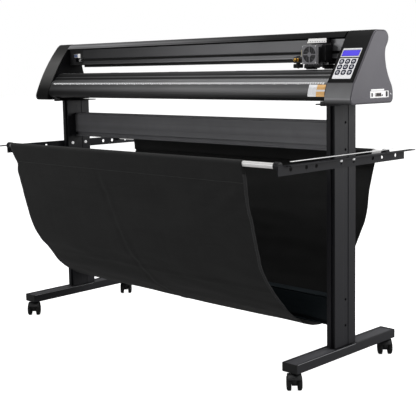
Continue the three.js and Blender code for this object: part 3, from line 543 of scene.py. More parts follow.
DRESSED = (
    (foot_coat, 0.8, ("left_foot", "right_foot")),
    (post_coat, 0.7, ("left_post", "right_post")),
    (arm_coat, 0.4, ("left_bag_arm", "right_bag_arm")),
    (dull_black, 0.4, ("left_side_plate", "right_side_plate")),
    (beam_coat, 0.6, ("upper_cross_beam",)),
    (lower_coat, 0.6, ("lower_cross_beam",)),
    (cover_metal, 0.5, ("top_cover",)),
    (rail_metal, 0.5, ("carriage_rail",)),
    (platen_metal, 0.5, ("platen",)),
    (white_plastic, 0.0, ("cutting_strip",)),
    (grit, 0.5, ("grit_shaft",)),
    (steel, 0.3, ("belt_idler_pulley", "belt_drive_pulley")),
    (rubber, 0.2, ("carriage_belt",)),
    (rubber, 0.6, ("inner_pinch_roller", "outer_pinch_roller")),
    (black_steel, 1.0, ("idler_bracket", "feed_motor", "tool_clamp")),
    (black_steel, 0.8, ("carriage_motor",)),
    (black_steel, 0.6, ("inner_pinch_bracket", "outer_pinch_bracket")),
    (black_plastic, 1.2, ("carriage_body",)),
    (black_plastic, 0.8, ("inner_pinch_arm", "outer_pinch_arm")),
    (black_plastic, 0.6, ("power_rocker", "mains_inlet")),
    (film_white, 0.0, ("control_panel_film",)),
    (backlit, 0.3, ("display_screen",)),
    (port_white, 0.15, ("port_plate",)),
    (board_green, 0.3, ("main_board",)),
)
for material, edge, names in DRESSED:
    for name in names:
        dress(name, material, edge)


# ---- Stand ----

def screw_head(form, centre, axis, radius, height, paint=0):
    """A domed head with a hexagonal socket, standing on `centre`."""
    well = radius * 0.5
    profile = [(0, 0), (radius, 0), (radius, height * 0.5), (radius * 0.92, height * 0.85),
               (radius * 0.75, height), (well, height), (well, height * 0.35), (0, height * 0.3)]
    form.lathe(profile, centre, axis, 24, paint, corners_from=5)


def nut(form, centre, axis, radius, height):
    """A hexagonal nut, with the bolt's end standing out of it."""
    form.disc(radius, 0, height, centre, axis, 6)
    tip = height + 2.5
    form.lathe([(0, height - 0.1), (radius * 0.55, height - 0.1), (radius * 0.5, tip), (0, tip)],
               centre, axis, 18)


def foot_plugs(side):
    """Moulded plugs that close both ends of a foot's tube."""
    low, high = corners(f"{side}_foot")
    form = Form()
    for end, out in ((low.y, -1), (high.y, 1)):
        rings = []
        for rise, lap in ((0.05, 0.2), (1.8, 0.2), (3.0, -0.8)):
            outline = rounded((low.x - lap, high.x + lap), (low.z - lap, high.z + lap), 2.5)
            rings.append([(a, end + out * rise, b) for a, b in outline])
        form.loft(rings)
    form.piece(f"{side}_foot_plugs", [black_plastic], "frame", slot="black_plastic")


def foot_strip(side):
    """The lighter strip let into the top of a foot, in two lengths, one at each side of the post, and a
    painted highlight along the foot's right top edge."""
    low, high = corners(f"{side}_foot")
    post_low, post_high = corners(f"{side}_post")
    form = Form()
    x = (low.x + 7.6, high.x - 7.6)
    for y in ((low.y + 3, post_low.y - 0.6), (post_high.y + 0.6, high.y - 3)):
        form.box(x, y, (high.z - 2.4, high.z - 1.9))
    # A thin light line along the top right edge: painted highlight.
    form.box((high.x - 1.3, high.x + 0.1), (low.y + 3, post_high.y - 20), (high.z - 1.3, high.z + 0.1), 1)
    form.piece(f"{side}_foot_strip", [strip_coat, painted_edge_highlight], "frame", bevel=0.15, slot="powder_coat")


def post_screws(side):
    """Socket screws in the post's groove, into the ends of the two beams."""
    low, high = corners(f"{side}_post")
    out = 1 if side == "right" else -1
    face = high.x if out > 0 else low.x
    groove_y, groove_depth = 2, 8.5
    form = Form()
    for beam in ("upper_cross_beam", "lower_cross_beam"):
        bottom = corners(beam)[0].z
        for rise in (5, 93):
            centre = (face - out * groove_depth, groove_y, bottom + rise)
            form.disc(8, 0.05, 0.5, centre, (out, 0, 0), 24)
            screw_head(form, centre, (out, 0, 0), 5.2, 3.2)
    form.piece(f"{side}_post_screws", [dull_black], "frame", slot="black_steel")


def arm_bolts(side):
    """Two bolts hold the arm to the post, with their nuts on the post's inner face."""
    low, high = corners(f"{side}_bag_arm")
    post_low, post_high = corners(f"{side}_post")
    out = 1 if side == "right" else -1
    web = 717.9 * out
    inner = post_low.x if out > 0 else post_high.x
    form = Form()
    for y in (-30 * out, 38 * out):
        z = (low.z + high.z) / 2 + 1
        screw_head(form, (web - out * 3.2, y + 2.0 * out, z + 0.4), (out, 0, 0), 4.6, 6.4)
        nut(form, (inner - out * 0.05, y, z), (-out, 0, 0), 6.2, 4.4)
    # The bolts' and nuts' finish glows: painted light.
    form.piece(f"{side}_arm_bolts", [bright_edge], "frame", bevel=0.25, slot="steel")


def rod_bar(name, node):
    """A drawn rod with a small chamfer at each end."""
    low, high = corners(node)
    centre = (low + high) / 2
    radius = (high.z - low.z) / 2
    length = high.x - low.x
    form = Form()
    profile = [(0, 0), (radius - 1, 0), (radius, 1), (radius, length - 1), (radius - 1, length), (0, length)]
    form.lathe(profile, (low.x, centre.y, centre.z), X, 40)
    form.piece(name, [rod_white], "frame", slot="rod_white", replaces=[node])


for side in ("left", "right"):
    foot_plugs(side)
    foot_strip(side)
    post_screws(side)
    arm_bolts(side)
rod_bar("front_rod_bar", "front_bag_rod")
rod_bar("rear_rod_bar", "rear_bag_rod")


def caster(name):
    """A twin-wheel caster: two grooved wheels with hubs on one axle, under a fender and a neck."""
    stem = joint_point(f"{name}_swivel")
    axle = joint_point(f"{name}_roll")
    trail = Vector((axle.x - stem.x, axle.y - stem.y, 0))
    ahead = trail.normalized()
    place = axes_at((axle.x, axle.y, 0), ahead, Z.cross(ahead), Z)
    radius = axle.z
    wheels = Form()
    for out in (-1, 1):
        profile = [(0, 10.6), (4.2, 10.6), (22.6, 10.6), (24.2, 11.2), (25, 12.6), (25, 19.2), (24.3, 21.4),
                   (22.4, 23.2), (20.2, 24.2), (19.2, 24.2), (18.6, 22.8), (11.2, 22.8), (10.4, 24.4),
                   (8.2, 25), (0, 25)]
        wheels.lathe(profile, (0, 0, radius), (0, out, 0), 44, place=place)
    wheels.piece(f"{name}_wheels", [rubber], f"{name}_wheel", slot="rubber", replaces=[f"{name}_wheel"],
                 sharp=50)
    hood = Form()
    hood_half, cheek_half, top_of_hood = 22, 8.3, 51.3
    start = math.radians(30)
    over, under = radius + 5, radius + 1.5
    crown = ring_of(over, (0, radius), 28, start, math.pi - start, whole=False)
    inside = ring_of(under, (0, radius), 28, math.pi - start, start, whole=False)
    hood.sweep(crown + inside, "y", -hood_half, hood_half, place=place)
    cheek = [(-8, 17), (8, 17), (13, 20), (17.5, 25.5), (20.3, 34), (21.6, 42), (21.8, 47.5),
             (6, 50.5), (-14, 53.5), (-17.4, 48), (-18.6, 38), (-16.4, 28), (-12.6, 21)]
    hood.sweep(cheek, "y", -cheek_half, cheek_half, place=place)
    hood.lathe([(0, -5), (9.5, -5), (9.5, -0.6), (8, 0), (8, 5.2), (0, 5.2)],
               (-trail.length, 0, top_of_hood), Z, 32, place=place)
    hood.piece(f"{name}_hood_shell", [black_plastic], f"{name}_hood", bevel=1.0, slot="black_plastic",
               replaces=[f"{name}_hood"])


for side in ("left", "right"):
    for end in ("front", "rear"):
        caster(f"{side}_{end}_caster")


# ---- End caps ----

PANEL_LOW = Vector((-104, 953.3))
PANEL_HIGH = Vector((-22, 1074))


def curve(start, control, end, steps=10):
    """A quadratic curve's points, without its start."""
    start, control, end = Vector(start), Vector(control), Vector(end)
    shares = [i / steps for i in range(1, steps + 1)]
    return [tuple(start * (1 - t) ** 2 + control * (2 * t * (1 - t)) + end * (t * t)) for t in shares]


def cap_profile(flat_front):
    """The caps' side outline in (Y, Z), the same lines and curves as the CAD caps, in finer steps.
    The right cap's front is flat where the keys are; the left one's is a curve."""
    outline = [(-106, 887.4), (98, 887)]
    rear = (((114, 888.5), (114, 905)), ((115, 930), (104, 948.6)), ((78, 984), (72, 1015)),
            ((63, 1053.3), (76, 1069)), ((92, 1089.6), (84, 1104)), ((78, 1117.6), (62, 1118.6)))
    for control, end in rear:
        outline += curve(outline[-1], control, end)
    outline.append((20, 1118.6))
    outline += curve(outline[-1], (8, 1116.5), (-6, 1098))
    if flat_front:
        outline += [tuple(PANEL_HIGH), tuple(PANEL_LOW), (-118, 911.3)]
    else:
        outline += curve(outline[-1], (-78, 1014), (-118, 911.3), 24)
    outline += curve(outline[-1], (-123, 888.5), (-106, 887.4))[:-1]
    return [Vector(p) for p in outline]


def inset(points, distance):
    """A counter-clockwise outline moved inwards, corner by corner."""
    moved = []
    for i, point in enumerate(points):
        into = (point - points[i - 1]).normalized()
        out = (points[(i + 1) % len(points)] - point).normalized()
        normal = Vector((-into.y - out.y, into.x + out.x)).normalized()
        stretch = 1 / max(0.5, normal.dot(Vector((-into.y, into.x))))
        moved.append(point + normal * distance * stretch)
    return moved


def cap_shell(side):
    """A moulded cap: outline swept along X, a bevel round its outer face, open towards the head."""
    low, high = corners(f"{side}_end_cap")
    out = 1 if side == "right" else -1
    inner, outer = (low.x, high.x) if out > 0 else (high.x, low.x)
    profile = cap_profile(side == "right")
    wall, bevel = 3.0, 3.5

    def ring(x, distance):
        return [(x, p.x, p.y) for p in inset(profile, distance)]

    shoulder = outer - out * bevel
    skins = [
        (inner, 0), (shoulder, 0), (outer - out * 0.5, bevel - 0.5), (outer, bevel + 0.4),
        (outer - out * wall, bevel + 0.4), (outer - out * (wall + 0.4), bevel - 0.5),
        (shoulder - out * wall, wall), (inner, wall),
    ]
    form = Form()
    form.points = [Vector(p) for x, distance in skins for p in ring(x, distance)]
    count, face_ring, back_ring = len(profile), 3, 4

    def cover(face, paint):
        form.faces.append(face)
        form.paints.append(paint)

    def wrap(k, paint):
        """The band of faces from one ring to the next; after the last ring comes the first."""
        start, ahead = k * count, (k + 1) % len(skins) * count
        for i in range(count):
            j = (i + 1) % count
            cover([start + i, start + j, ahead + j, ahead + i], paint)

    # The outer side face and the bevel round it take paint 1, the lighter side finish that is a painted
    # reflection; the rest of the moulding takes the front's finish.
    for k, paint in ((0, 0), (1, 1), (2, 1), (4, 0), (5, 0), (6, 0)):
        wrap(k, paint)
    cover([face_ring * count + i for i in range(count)], 1)
    cover([back_ring * count + i for i in reversed(range(count))], 0)
    wrap(len(skins) - 1, 0)
    front = right_cap_front if out > 0 else left_cap_front
    return form.piece(f"{side}_cap_shell", [front, cap_side_painted_reflection], "frame", bevel=0.6, slot="cap_plastic",
                      replaces=[f"{side}_end_cap"], sharp=20)


cap_shell("left")
right_cap = cap_shell("right")


# ---- Panel ----

PRESS = Vector(joint("key_1_press")["axis"])
PANEL_OUT = -PRESS
PANEL_UP = PANEL_OUT.cross(X)


def panel_place():
    """A frame at the lower edge of the film's outer face: X along it, Y up the slope, Z outwards."""
    points = [v.co / MM for v in frame["nodes"]["control_panel_film"].data.vertices]
    low, high = corners("control_panel_film")
    face = max(p.dot(PANEL_OUT) for p in points)
    foot = min(p.dot(PANEL_UP) for p in points)
    origin = X * (low.x + high.x) / 2 + PANEL_OUT * face + PANEL_UP * foot
    return axes_at(origin, X, PANEL_UP, PANEL_OUT)


PANEL = panel_place()


def evaluated(obj):
    return obj.evaluated_get(bpy.context.evaluated_depsgraph_get())


def cut_with(obj, boxes):
    """Cuts openings, given as boxes in millimetres (x, y, z, place), out of a closed shell."""
    form = Form()
    for x, y, z, place in boxes:
        form.box(x, y, z, place=place)
    bm = form.solid()
    mesh = bpy.data.meshes.new("cutter")
    bm.to_mesh(mesh)
    bm.free()
    cutter = show("cutter", mesh)
    change = obj.modifiers.new("openings", "BOOLEAN")
    change.operation = "DIFFERENCE"
    change.solver = "EXACT"
    change.object = cutter
    shape = bpy.data.meshes.new_from_object(evaluated(obj))
    obj.modifiers.remove(change)
    obj.data = shape
    bpy.data.objects.remove(cutter)


cut_with(right_cap, [
    ((-33.2, 33.2), (11.4, 75), (-12, 4), PANEL),
    ((-32.7, 32.7), (84.6, 106), (-12, 4), PANEL),
    ((810, 822), (-15.8, 88.3), (905.2, 926.8), None),
    ((736.6, 785.4), (96, 120), (898.1, 924.9), None),
])


def panel_print():
    """What is printed on the film: a black gap under the display and a navy line round its glass."""
    form = Form()
    form.box((-35.6, 35.6), (75.4, 80.2), (0.02, 0.22), 0, PANEL)
    for x, y in (((-33.4, 33.4), (83.4, 84.5)), ((-33.4, 33.4), (106.1, 107.2)),
                 ((-33.4, -32.5), (84.5, 106.1)), ((32.5, 33.4), (84.5, 106.1))):
        form.box(x, y, (0.02, 0.16), 1, PANEL)
    form.piece("panel_print", [film_black, key_navy], "frame", slot="panel_film")


def key_cap(number):
    """A soft key: a navy moulding with a rounded square outline, a white middle and a plain sign."""
    centre = PANEL.inverted() @ middle(f"key_{number}")
    place = PANEL @ Matrix.Translation((centre.x, centre.y, 0))
    form = Form()
    for radius, half, rise, paint in ((4.6, 8.6, (-1.2, 0.9), 0), (2.2, 3.9, (0.8, 1.15), 1)):
        outline = rounded((-half, half), (-half, half), radius)
        form.sweep(outline, "z", rise[0], rise[1], paint, place)
    top = (1.1, 1.3)
    arrow = [(-2.4, -1.8), (2.4, -1.8), (0, 2.4)]
    if number in (2, 4, 6, 8):
        turn = {2: 0, 4: 1, 8: 2, 6: 3}[number] * math.pi / 2
        form.sweep(arrow, "z", *top, 0, place @ Matrix.Rotation(turn, 4, "Z"))
    elif number == 5:
        form.disc(2.3, 0, 0.2, (0, 0, 1.1), Z, 20, 0, place)
    elif number in (1, 3):
        form.box((-2.8, 2.8), (-0.7, 0.7), top, 0, place)
        if number == 3:
            form.box((-0.7, 0.7), (-2.8, 2.8), (1.1, 1.32), 0, place)
    else:
        form.box((-2.4, -0.8), (-2.2, 2.2), top, 0, place)
        form.box((0.8, 2.4), (-2.2, 2.2 if number == 7 else 0), top, 0, place)
    form.piece(f"key_{number}_cap", [key_navy, key_print], f"key_{number}", slot="key_cap",
               replaces=[f"key_{number}"])


panel_print()
for number in range(1, 10):
    key_cap(number)


# ---- Carriage ----

def grille():
    """The fan's guard: a square plate whose round opening is crossed by four spokes and a hub, and the
    fan behind it."""
    low, high = corners("carriage_grille")
    x, z = (low.x + high.x) / 2, (low.z + high.z) / 2
    half = (high.x - low.x) / 2
    # The square's corners are cut off where they would reach further than this.
    corner_reach = half * 1.38
    front, back = low.y, low.y + 1.6
    hub, rim, steps = 7.5, 25.5, 10
    sweep_back, blade_width = 0.55, 0.28

    def spot(reach, angle):
        return (x + reach * math.cos(angle), z + reach * math.sin(angle))

    # The plate round the opening.
    outer = []
    for i in range(64):
        angle = 2 * math.pi * i / 64
        to_side = half / max(abs(math.cos(angle)), abs(math.sin(angle)))
        outer.append(spot(min(to_side, corner_reach), angle))
    ring = ring_of(rim, (x, z), 64)
    skins = [[(a, y, b) for a, b in line] for line, y in
             ((outer, front + 0.5), (outer, back), (ring, back), (ring, front))]
    lip = [(x + (a - x) * 0.985, front, z + (b - z) * 0.985) for a, b in outer]
    form = Form().loft([*skins, lip], closed=True)
    # The spokes and the hub.
    for quarter in range(4):
        place = axes_at((x, front + 0.1, z), X, Z, Y)
        turn = Matrix.Rotation(quarter * math.pi / 2, 4, "Z")
        form.box((hub - 2, rim + 0.6), (-1.7, 1.7), (0, 1), place=place @ turn)
    form.disc(hub, 0, 1.5, (x, front + 0.05, z), Y, 28)
    form.piece("fan_guard", [guard_grey], "carriage", slot="silver", replaces=["carriage_grille"], sharp=40)
    fan = Form().disc(rim + 1.5, 0, 0.6, (x, front + 3.0, z), Y, 40, 1)
    for blade in range(9):
        edge = [(hub + (rim - 1 - hub) * step / steps,
                 2 * math.pi * blade / 9 + sweep_back * (step / steps) ** 1.3) for step in range(steps + 1)]
        line = [spot(r, a) for r, a in edge] + [spot(r, a + blade_width) for r, a in reversed(edge)]
        fan.sweep(line, "y", front + 2.0, front + 2.9, 0)
    fan.piece("fan_blades", [fan_grey, fan_dark], "carriage", slot="silver")


def carriage_details():
    """What is fixed to the carriage: the bright plate on its top flange, the fan housing's skin, a
    cream terminal, a ribbed skirt under the fan, and screws."""
    form = Form()
    # The plate's finish glows: a painted glint on its bright metal.
    plate = [(575.5, 1082.4), (654.5, 1082.4), (654.5, 1096.6), (582.5, 1096.6)]
    form.sweep(plate, "y", -22.9, -22.05, 0)
    for at in range(7):
        form.box(around(590 + at * 9.6, 1.8), (-23.2, -22.8), (1084.6, 1089), 1)
    form.box((583.6, 644.4), (-56.2, -28), (1070, 1075.5), 4)
    form.box((583.6, 644.4), (-56.2, -50), (1014.6, 1070), 4)
    form.box((579.4, 583.9), (-58.5, -50), (1039, 1061), 2)
    for x, z in ((588, 1071), (640, 1071), (588, 1019), (640, 1019)):
        screw_head(form, (x, -60.25, z), (0, -1, 0), 2.2, 1.2, 3)
    form.piece("carriage_trim", [bright_plate, grey_print, cream, steel, guard_grey], "carriage", bevel=0.3,
               slot="silver")
    skirt = Form()
    scallops = [(586 + at * 2.3, 1008 - 4.2 * abs(math.sin(at * 0.42))) for at in range(34)]
    skirt.sweep([(586, 1019.5), *scallops, (662, 1019.5)], "y", -50, -44)
    for at in range(7):
        skirt.disc(2.2, 0, 1.2, (593 + at * 10.5, -50, 1013), -Y, 12, 1)
    skirt.piece("carriage_skirt", [black_plastic, silver], "carriage", bevel=0.5, slot="black_plastic")


def blade_holder():
    """The screw-in blade holder: a barrel in the clamp, a scalloped depth knob and the blade's tip."""
    x, y = middle("blade_holder").xy
    form = Form()
    rings = []
    for radius, z, lobes in ((13, 1002.3, 0.2), (15.4, 1003.0, 1.2), (16.5, 1004.6, 2.0),
                             (16.5, 1013.2, 2.0), (15.4, 1015.2, 1.2), (13, 1016, 0.2)):
        ring = []
        for i in range(96):
            angle = 2 * math.pi * i / 96
            reach = radius - lobes * (0.5 - 0.5 * math.cos(angle * 12))
            ring.append((x + reach * math.cos(angle), y + reach * math.sin(angle), z))
        rings.append(ring)
    form.loft(rings)
    form.lathe([(0, 1015.9), (7, 1015.9), (7, 1040), (5, 1042), (0, 1042)], (x, y, 0), Z, 32)
    form.lathe([(0, 1000.9), (2.9, 1001), (3.2, 1003), (0, 1003)], (x, y, 0), Z, 24, 1)
    form.lathe([(0, 999.5), (0.7, 1001), (0, 1001.2)], (x, y, 0), Z, 12, 2)
    form.piece("blade_knob", [black_plastic, brass, steel], "blade_holder", slot="black_plastic",
               replaces=["blade_holder"], sharp=50)


def clamp_screw():
    """The brass thumb screw that holds the blade holder: a ball, a neck and a locking ring."""
    low, high = corners("clamp_screw")
    tip = Vector(((low.x + high.x) / 2, high.y, (low.z + high.z) / 2))
    form = Form()
    ball = [(max(0.0, 6.2 * math.sin(a)), 17.8 - 6.2 * math.cos(a)) for a in
            [math.pi * (0.16 + 0.84 * i / 14) for i in range(15)]]
    form.lathe([(0, 0), (3, 0), (3, 1.6), (6, 1.6), (6.2, 2.4), (6.2, 6), (5.6, 7), (2.5, 7.6)] + ball,
               tip, -Y, 28)
    form.piece("brass_thumb_screw", [brass], "clamp_screw", slot="brass", replaces=["clamp_screw"], sharp=50)


grille()
carriage_details()
blade_holder()
clamp_screw()


# ---- Head ----

def platen_details():
    """The printed ruler along the platen's front, and the label that this model leaves blank."""
    low, high = corners("platen")
    form = Form()
    slope = (Vector((0, -102, 949)), Vector((0, -94, 961)))
    up = (slope[1] - slope[0]).normalized()
    out = Vector((0, -up.z, up.y))
    at = slope[0] + up * 5
    place = axes_at(at + out * 0.02, X, up, out)
    form.box((low.x + 8, high.x - 8), (3.8, 4.8), (0, 0.12), 0, place)
    for tick in range(-71, 71):
        tall = 7.6 if tick % 5 == 0 else 6.0
        if low.x + 8 < tick * 10 < high.x - 8:
            form.box(around(tick * 10, 3.6), (4.0 - tall, 4.1), (0, 0.12), 0, place)
    form.piece("ruler", [ruler_print], "frame", slot="white_strip")
    label = Form()
    thickness = 0.35
    front = [(-102.0, 949), (-106.5, 939), (-108.5, 933.5), (-110.5, 928), (-112.5, 918), (-112.2, 912)]
    skin = [Vector(p) for p in front]
    lifted = []
    for i, p in enumerate(skin):
        along = (skin[min(i + 1, 5)] - skin[max(i - 1, 0)]).normalized()
        away = Vector((along.y, -along.x))
        lifted.append(p - away * thickness if along.y > 0 else p + away * thickness)
    for x, paint in (((648, 680.6), 0), ((681, 714), 1)):
        for i in range(5):
            quad = [tuple(skin[i]), tuple(skin[i + 1]), tuple(lifted[i + 1]), tuple(lifted[i])]
            label.sweep(quad, "x", x[0], x[1], 0 if i == 2 else paint)
    label.piece("blank_label", [label_white, label_orange], "frame", slot="white_strip")


platen_details()


def tensioner():
    """The belt tensioner's white and blue slider beside the idler pulley."""
    form = Form()
    # The white block's finish glows: painted light.
    form.box((-669, -658), (-2.6, 1.9), (1060, 1077), 0)
    form.box((-696, -673), (-1.6, 1.9), (1062, 1075), 1)
    form.disc(3.4, 0, 4, (-661, 1.9, 1049), -Y, 16, 2)
    form.piece("belt_tensioner", [bright_plate, blue_plastic, steel], "frame", bevel=0.6, slot="white_strip")


def head_brackets():
    """Small black blocks that hook the head to the front of each post's top plate."""
    form = Form()
    for out in (-1, 1):
        form.box((694, 713) if out > 0 else (-704, -686), (-108, -90), (882, 897), 0)
        form.box((690, 716) if out > 0 else (-714, -686), (-90, -59), (882.5, 885.5), 0)
    form.piece("head_brackets", [black_steel], "frame", bevel=1.0, slot="black_steel")


def port_details():
    """The connectors on the right cap's side, the strip over them and the inlet's screws."""
    low, high = corners("port_plate")
    face = high.x
    form = Form()
    form.box((face + 0.02, face + 0.35), (low.y + 4, 60), (927.4, 932.6), 0)
    form.box((face - 1, face + 1.6), (12.5, 43), (909, 921), 1)
    form.box((face + 1.5, face + 2.0), (16, 39.5), (911.6, 918.6), 2)
    form.box((face - 1, face + 0.8), (-9, -2), (909, 921), 3)
    form.box((face - 0.5, face + 0.5), (48, 54), (910, 917), 3)
    for y in (8.2, 47.2):
        form.disc(2.4, 0, 1.6, (face, y, 915), X, 6, 4)
    screw_head(form, (820.0, 96.5, 916), X, 3.0, 1.6, 4)
    form.piece("port_fittings", [port_white, connector_brown, black_plastic, black_plastic, steel], "frame",
               bevel=0.2, slot="white_strip")
    inlet_low, inlet_high = corners("mains_inlet")
    form = Form()
    for x in (inlet_low.x + 4.4, inlet_high.x - 4.4):
        screw_head(form, (x, inlet_high.y, (inlet_low.z + inlet_high.z) / 2), Y, 2.4, 1.2)
    form.piece("inlet_screws", [steel], "frame", slot="steel")


tensioner()
head_brackets()
port_details()


def arm_details():
    """The bright worn fold along the right arm's flange, whose glow is painted light that keeps it bright
    under the cap, and the blocks that hold the front rod.
    """
    high = corners("right_bag_arm")[1]
    edge = Form()
    edge.box((high.x - 8, high.x + 0.2), (-301, 334), (high.z - 1.2, high.z + 0.3))
    edge.piece("right_arm_edge", [bright_edge], "frame", bevel=0.2, slot="powder_coat")
    keepers = Form()
    for out in (-1, 1):
        keepers.box(sorted((out * 705, out * 716)), (-340, -322), (714.5, 721.5 if out > 0 else 717))
    keepers.disc(4.4, 0, 3, (711, -330, 721), Z, 6)
    keepers.piece("rod_keepers", [black_steel], "frame", bevel=0.5, slot="black_steel")


arm_details()


# ---- Catch bag ----

BAG_HALF = 626.0
LOOP = 11.0
HEM_DROP = 46.0
COLUMNS = 96
SIDE_COLUMNS = ((0, 1), (COLUMNS, COLUMNS - 1))


def bag_line():
    """The cloth's line in (Y, Z), from hem to hem: up inside, round the front rod, down the front,
    under the lower beam, up the back, round the rear rod and down inside. Also the arc lengths where
    the rod loops meet the hanging part."""
    front, rear = middle("front_bag_rod").yz, middle("rear_bag_rod").yz
    inside_front = [(-315.4, front[1] - HEM_DROP - 4), (-317.3, front[1] - HEM_DROP + 12), (-319.8, 690)]
    loop_front = ring_of(LOOP, front, 9, -0.2, math.pi + 0.25, whole=False)
    hang = [(-334, 688), (-326.5, 668), (-312, 622), (-297, 560), (-272, 455), (-243, 357), (-204, 291),
            (-152, 222), (-85, 170), (-13, 138), (31, 133), (66, 152), (90, 205), (112, 290), (133, 393),
            (152, 458), (190, 543), (222, 617), (241, 668), (248.5, 690)]
    loop_rear = ring_of(LOOP, rear, 9, -0.25, math.pi + 0.2, whole=False)
    inside_rear = [(232.6, 688), (233.6, rear[1] - HEM_DROP + 12), (233.4, rear[1] - HEM_DROP - 2)]
    points = [Vector(p) for p in inside_front + loop_front + hang + loop_rear + inside_rear]
    first, last = len(inside_front) + len(loop_front), len(points) - len(inside_rear) - len(loop_rear)
    line, marks = [points[0]], {}
    step_length = 9
    for i in range(len(points) - 1):
        before, a = points[max(i - 1, 0)], points[i]
        b, after = points[i + 1], points[min(i + 2, len(points) - 1)]
        span = (b - a).length
        steps = max(2, round(span / step_length))
        for k in range(1, steps + 1):
            t = k / steps
            slope_a = (b - before) * span / (span + (a - before).length)
            slope_b = (after - a) * span / (span + (after - b).length)
            ease = t * t * (3 - 2 * t)
            bend = slope_a * (t * (1 - t) ** 2) + slope_b * (t * t * (t - 1))
            line.append(a * (1 - ease) + b * ease + bend)
        marks[i + 1] = len(line) - 1
    lengths = [0.0]
    for a, b in zip(line, line[1:]):
        lengths.append(lengths[-1] + (b - a).length)
    return line, lengths, lengths[marks[first]], lengths[marks[last - 1]]


LINE, ALONG, HANG_START, HANG_END = bag_line()


def bag_shift(y):
    """The front hem hangs to the left and the rear hem to the right, evenly between."""
    front_shift, rear_shift = -63.5, 32.5
    front_y, rear_y = -330, 240
    return front_shift + (rear_shift - front_shift) * (y - front_y) / (rear_y - front_y)


def bump(place, centre, reach):
    """A smooth hump of height 1 at `centre`, gone by about twice `reach` to either side."""
    return math.exp(-((place - centre) / reach) ** 2)


def edge_shift(x, along):
    """How far the cloth's side edges wander from straight, fading out towards its middle."""
    down, up = along - HANG_START, HANG_END - along
    left, right = max(0.0, -x / BAG_HALF) ** 4, max(0.0, x / BAG_HALF) ** 4
    # The left edge pulls in under the rod and again at its knee.
    shift = left * (15 * bump(down, 46, 24) + 20 * bump(down, 450, 110))
    # The right edge hangs out at the rod, pulls in at the front's knee and bellies out at the rear.
    shift += right * (14 * bump(down, 15, 60) - 5 * bump(down, 350, 120) - 30 * bump(down, 700, 110))
    shift += right * 27 * bump(up, 230, 105)
    return shift


def step_between(value, low, high):
    t = min(1.0, max(0.0, (value - low) / (high - low)))
    return t * t * (3 - 2 * t)


def folds(x, along):
    """How far the cloth stands out from its line: packing creases and soft folds, in millimetres."""
    down = along - HANG_START
    free = step_between(down, 20, 90) * step_between(HANG_END - along, 20, 90)
    soft = noise.noise(Vector((x / 420, along / 70, 3.0))) * 2.2
    fine = noise.noise(Vector((x / 150, along / 34, 9.0))) * 0.9
    total = (soft * 1.8 + fine * 2.2) * free
    # The long crease from packing, which runs down and to the right from the top of the front.
    crease = -118 + 0.19 * down
    aside = x - crease
    if 0 < down < 640:
        total += (-3.4 * math.exp(-(aside / 7) ** 2) + 2.2 * math.exp(-((aside - 16) / 12) ** 2)) * free
    # Flat fold lines across the front.
    for place, depth in ((78, 2.6), (112, 3.0), (188, -2.2), (262, 2.4), (430, 2.2)):
        wander = place + 5 * noise.noise(Vector((x / 260, place, 1.0)))
        total += depth * math.exp(-((down - wander) / 8) ** 2) * step_between(x, -600, -300)
    # Creases that run from the corner on the right into the front.
    corner = step_between(x, 250, 540) * step_between(260 - down, 0, 220)
    total += 2.6 * math.sin((x + down * 1.5) / 21) * corner * step_between(down, 6, 60)
    return total


def bag_grid():
    """Rows of points along the cloth's line, each from its left to its right edge, and outward normals."""
    rows, normals = [], []
    for i, point in enumerate(LINE):
        ahead, behind = LINE[min(i + 1, len(LINE) - 1)], LINE[max(i - 1, 0)]
        along = (ahead - behind).normalized()
        out = Vector((0, along.y, -along.x))
        shift = bag_shift(point.x)
        row = []
        for k in range(COLUMNS + 1):
            x = -BAG_HALF + 2 * BAG_HALF * k / COLUMNS
            hang = HANG_START < ALONG[i] < HANG_END
            lift = folds(x, ALONG[i]) if hang else 0.0
            row.append(Vector((x + shift + edge_shift(x, ALONG[i]), point.x, point.y)) + out * lift)
        rows.append(row)
        normals.append(out)
    return rows, normals


def hang_cloth(obj, rows):
    """A cloth simulation from the sewn shape: the rod sleeves hold, and the rest sags and creases a
    little. No point ends more than a few millimetres from where it was cut to hang."""
    count = COLUMNS + 1
    holding = obj.vertex_groups.new(name="holding")
    for i in range(len(rows)):
        free = min(ALONG[i] - HANG_START, HANG_END - ALONG[i])
        weight = 1.0 if free < 12 else 0.12 - 0.06 * step_between(free, 12, 160)
        holding.add(range(i * count, (i + 1) * count), weight, "REPLACE")
    change = obj.modifiers.new("cloth", "CLOTH")
    settings = {
        "quality": 6, "mass": 0.25, "tension_stiffness": 25, "compression_stiffness": 25,
        "shear_stiffness": 8, "bending_stiffness": 0.6, "vertex_group_mass": "holding",
        "pin_stiffness": 1.0, "shrink_min": -0.015, "air_damping": 2,
    }
    for setting, value in settings.items():
        setattr(change.settings, setting, value)
    frames = 30
    change.point_cache.frame_start = 1
    change.point_cache.frame_end = frames
    scene = bpy.context.scene
    start = [v.co.copy() for v in obj.data.vertices]
    for number in range(1, frames + 1):
        scene.frame_set(number)
    ends = [v.co.copy() for v in evaluated(obj).to_mesh().vertices]
    evaluated(obj).to_mesh_clear()
    obj.modifiers.remove(change)
    obj.vertex_groups.remove(holding)
    scene.frame_set(1)
    most = 5.0 * MM
    for vertex, was, now in zip(obj.data.vertices, start, ends):
        moved = now - was
        length = moved.length
        vertex.co = was + moved * (most / (most + length)) if length > 1e-9 else was


